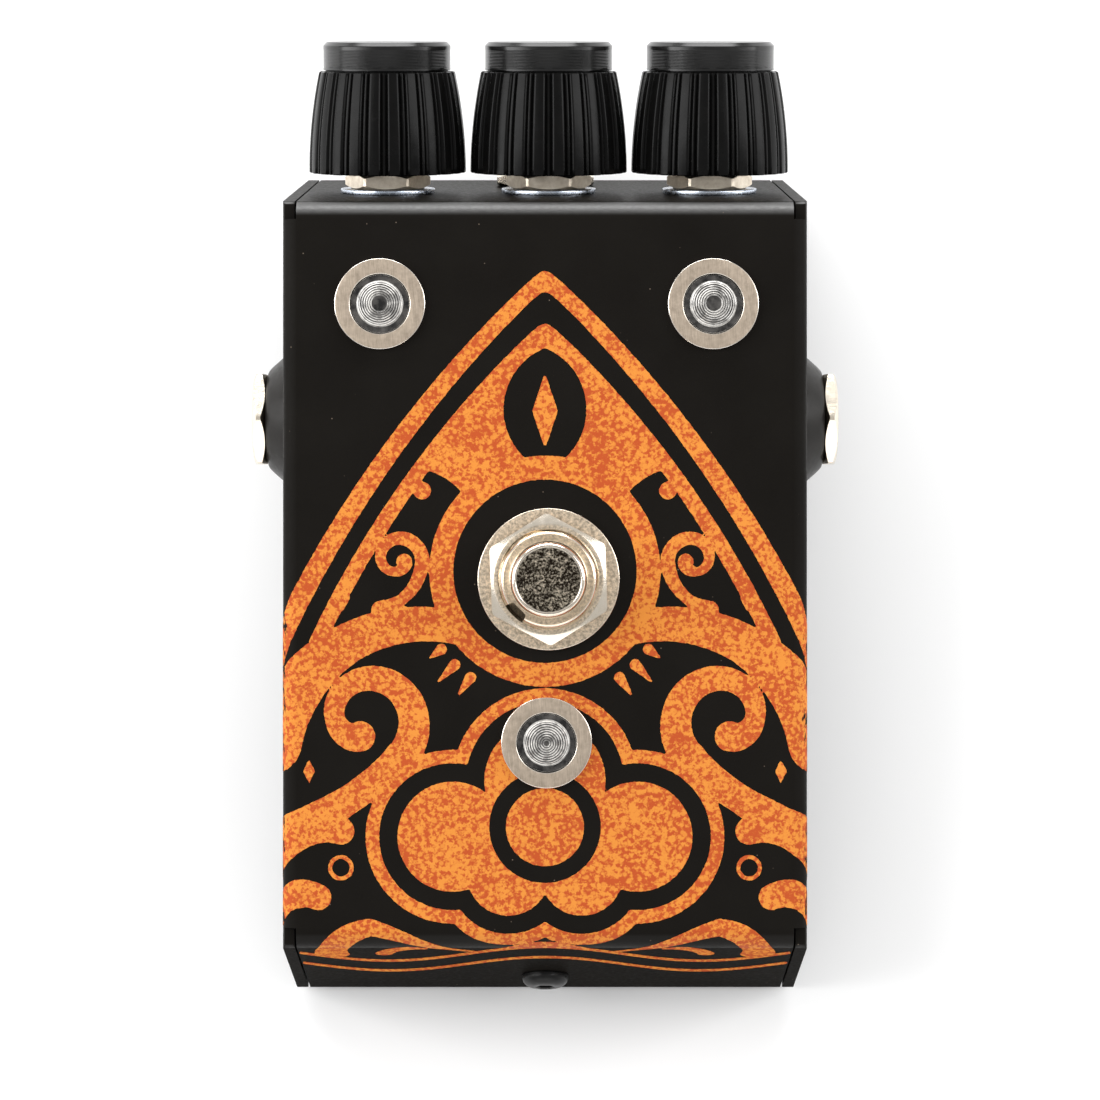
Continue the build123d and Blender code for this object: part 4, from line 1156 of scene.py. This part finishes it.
def ragged(sheet):
    """Small unevenness of the print's edge, most at the side bends."""
    u, v = sheet.u, sheet.v
    fine = np.sin(9.1 * u + 2.3 * np.sin(3.7 * v)) * np.sin(8.3 * v + 1.9 * np.sin(4.3 * u))
    coarse = np.sin(3.1 * u + 5.2 * v) * np.sin(4.7 * v - 2.2 * u + 1.3 * np.sin(2.9 * u))
    edge = np.clip((sheet.side - CASE_HALF + 4.0) / 4.0, 0, 1)
    return 0.035 * fine + 0.03 * coarse + 0.14 * edge * fine * coarse


def printed_area(sheet):
    """Everything inked, kept off the slits at the front corners."""
    inked = union(arch(sheet), rays(sheet), scrolls(sheet), cartouche(sheet), border(sheet)) + ragged(sheet)
    panel_edge = CASE_HALF - SHEET - CORNER_GAP - SHEET_EDGE
    slit = common(panel_edge - sheet.side, sheet.v - FRONT_RELIEF - 0.2)
    holes = [sheet.hole("led_lens_" + name, LED_HOLE_R) for name in LED_PLACES]
    return common(inked, -slit, sheet.side - PRINT_SIDE, *holes)


def outlined_cells(distance):
    """Corners, in grid steps as (column, row), and faces of the part with distances below nought."""
    inside = distance < 0
    rows, columns = distance.shape
    corners, faces, known = [], [], {}

    def index_of(key, place):
        if key not in known:
            known[key] = len(corners)
            corners.append(place)
        return known[key]

    touched = inside[:-1, :-1] | inside[1:, :-1] | inside[:-1, 1:] | inside[1:, 1:]
    for row, column in zip(*np.nonzero(touched)):
        cell = [(row, column), (row, column + 1), (row + 1, column + 1), (row + 1, column)]
        face = []
        for here, after in zip(cell, cell[1:] + cell[:1]):
            if inside[here]:
                face.append(index_of(here, (here[1], here[0])))
            if inside[here] != inside[after]:
                key = (min(here, after), max(here, after))
                share = distance[here] / (distance[here] - distance[after])
                place = [here[1] + share * (after[1] - here[1]), here[0] + share * (after[0] - here[0])]
                face.append(index_of(key, place))
        if len(face) > 2:
            faces.append(face)
    return corners, faces


def folded(u, v, lift):
    """Where a point of the unfolded sheet lies on the folded case, raised by lift."""
    turn = acos(TOP_NORMAL.dot(FRONT_NORMAL))
    start = FRONT_BEND * tan(turn / 2)
    flat = CASE_HALF - SIDE_BEND
    over = abs(u) - flat
    sign = copysign(1, u)
    if v >= start:
        angle = min(max(over, 0) / SIDE_BEND, pi / 2)
        beyond = max(over - SIDE_BEND * pi / 2, 0)
        across = min(abs(u), flat) + (SIDE_BEND + lift) * sin(angle)
        height = (SIDE_BEND + lift) * cos(angle) - SIDE_BEND - beyond
        return TOP @ Vector((sign * across, v, height))
    angle = min((start - v) / FRONT_BEND, turn)
    beyond = start - v - FRONT_BEND * angle
    up = start - (FRONT_BEND + lift) * sin(angle) - beyond * cos(angle)
    height = (FRONT_BEND + lift) * cos(angle) - FRONT_BEND - beyond * sin(angle)
    return TOP @ Vector((u, up, height))


def add_ornament():
    sheet = Sheet(INK_STEP, PRINT_SIDE + INK_STEP, PRINT_LOW, PRINT_HIGH)
    corners, faces = outlined_cells(printed_area(sheet))
    count = len(corners)
    points = []
    for lift in (INK_THICK, -INK_SUNK):
        for column, row in corners:
            u = sheet.across[0] + column * INK_STEP
            v = sheet.along[0] + row * INK_STEP
            points.append(folded(u, v, lift))
    edges = {}
    for face in faces:
        for a, b in zip(face, face[1:] + face[:1]):
            edges[(a, b)] = edges.get((a, b), 0) + 1
    rims = [(a, b) for a, b in edges if (b, a) not in edges]
    walls = [[b, a, a + count, b + count] for a, b in rims]
    under = [[corner + count for corner in reversed(face)] for face in faces]
    thing = add_mesh("printed_ornament", points, faces + under + walls, 50)
    thing.data.materials.append(MATERIALS["orange_ink"])
    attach(thing, "case")


# Lights, camera and floor ----------

def add_camera():
    data = bpy.data.cameras.new("camera")
    data.lens = CAMERA_LENS
    data.sensor_width = SENSOR
    data.clip_start = 0.01
    camera = linked("camera", data)
    place = TOP @ Matrix.Translation((CAMERA_RIGHT, CAMERA_UP, CAMERA_HEIGHT))
    place.translation *= MM
    camera.matrix_world = place
    bpy.context.scene.camera = camera


def add_floor():
    half = FLOOR_HALF
    corners = [(-half, -half, 0), (half, -half, 0), (half, half, 0), (-half, half, 0)]
    mesh = bpy.data.meshes.new("floor")
    mesh.from_pydata(corners, [], [(0, 1, 2, 3)])
    floor = linked("floor", mesh)
    paper = Look("paper")
    paper.tint(paper.noise(40.0), [0.9776916] * 3, [0.9866952] * 3)
    paper.set("Roughness", 0.8)
    mesh.materials.append(MATERIALS["paper"])


def add_studio():
    """White surroundings and soft boxes."""
    world = bpy.data.worlds.new("studio")
    world.use_nodes = True
    background = world.node_tree.nodes["Background"]
    background.inputs["Color"].default_value = (1, 1, 1, 1)
    background.inputs["Strength"].default_value = STUDIO_LIGHT
    bpy.context.scene.world = world
    for name, (place, width, height, power) in SOFT_BOXES.items():
        data = bpy.data.lights.new(name, "AREA")
        data.shape = "RECTANGLE"
        data.size = width
        data.size_y = height
        data.energy = power
        light = linked(name, data)
        light.location = place
        light.rotation_euler = (LIGHT_AIM - Vector(place)).to_track_quat("-Z", "Y").to_euler()
    bpy.context.scene.view_settings.view_transform = "Standard"


make_looks()
dress_frame()
folded_sheet("folded_case", "top_shell")
folded_sheet("folded_base", "base_plate")
add_knobs()
add_footswitch()
add_spring()
add_indicators()
add_jacks()
add_fasteners()
add_ornament()
add_floor()
add_studio()
add_camera()
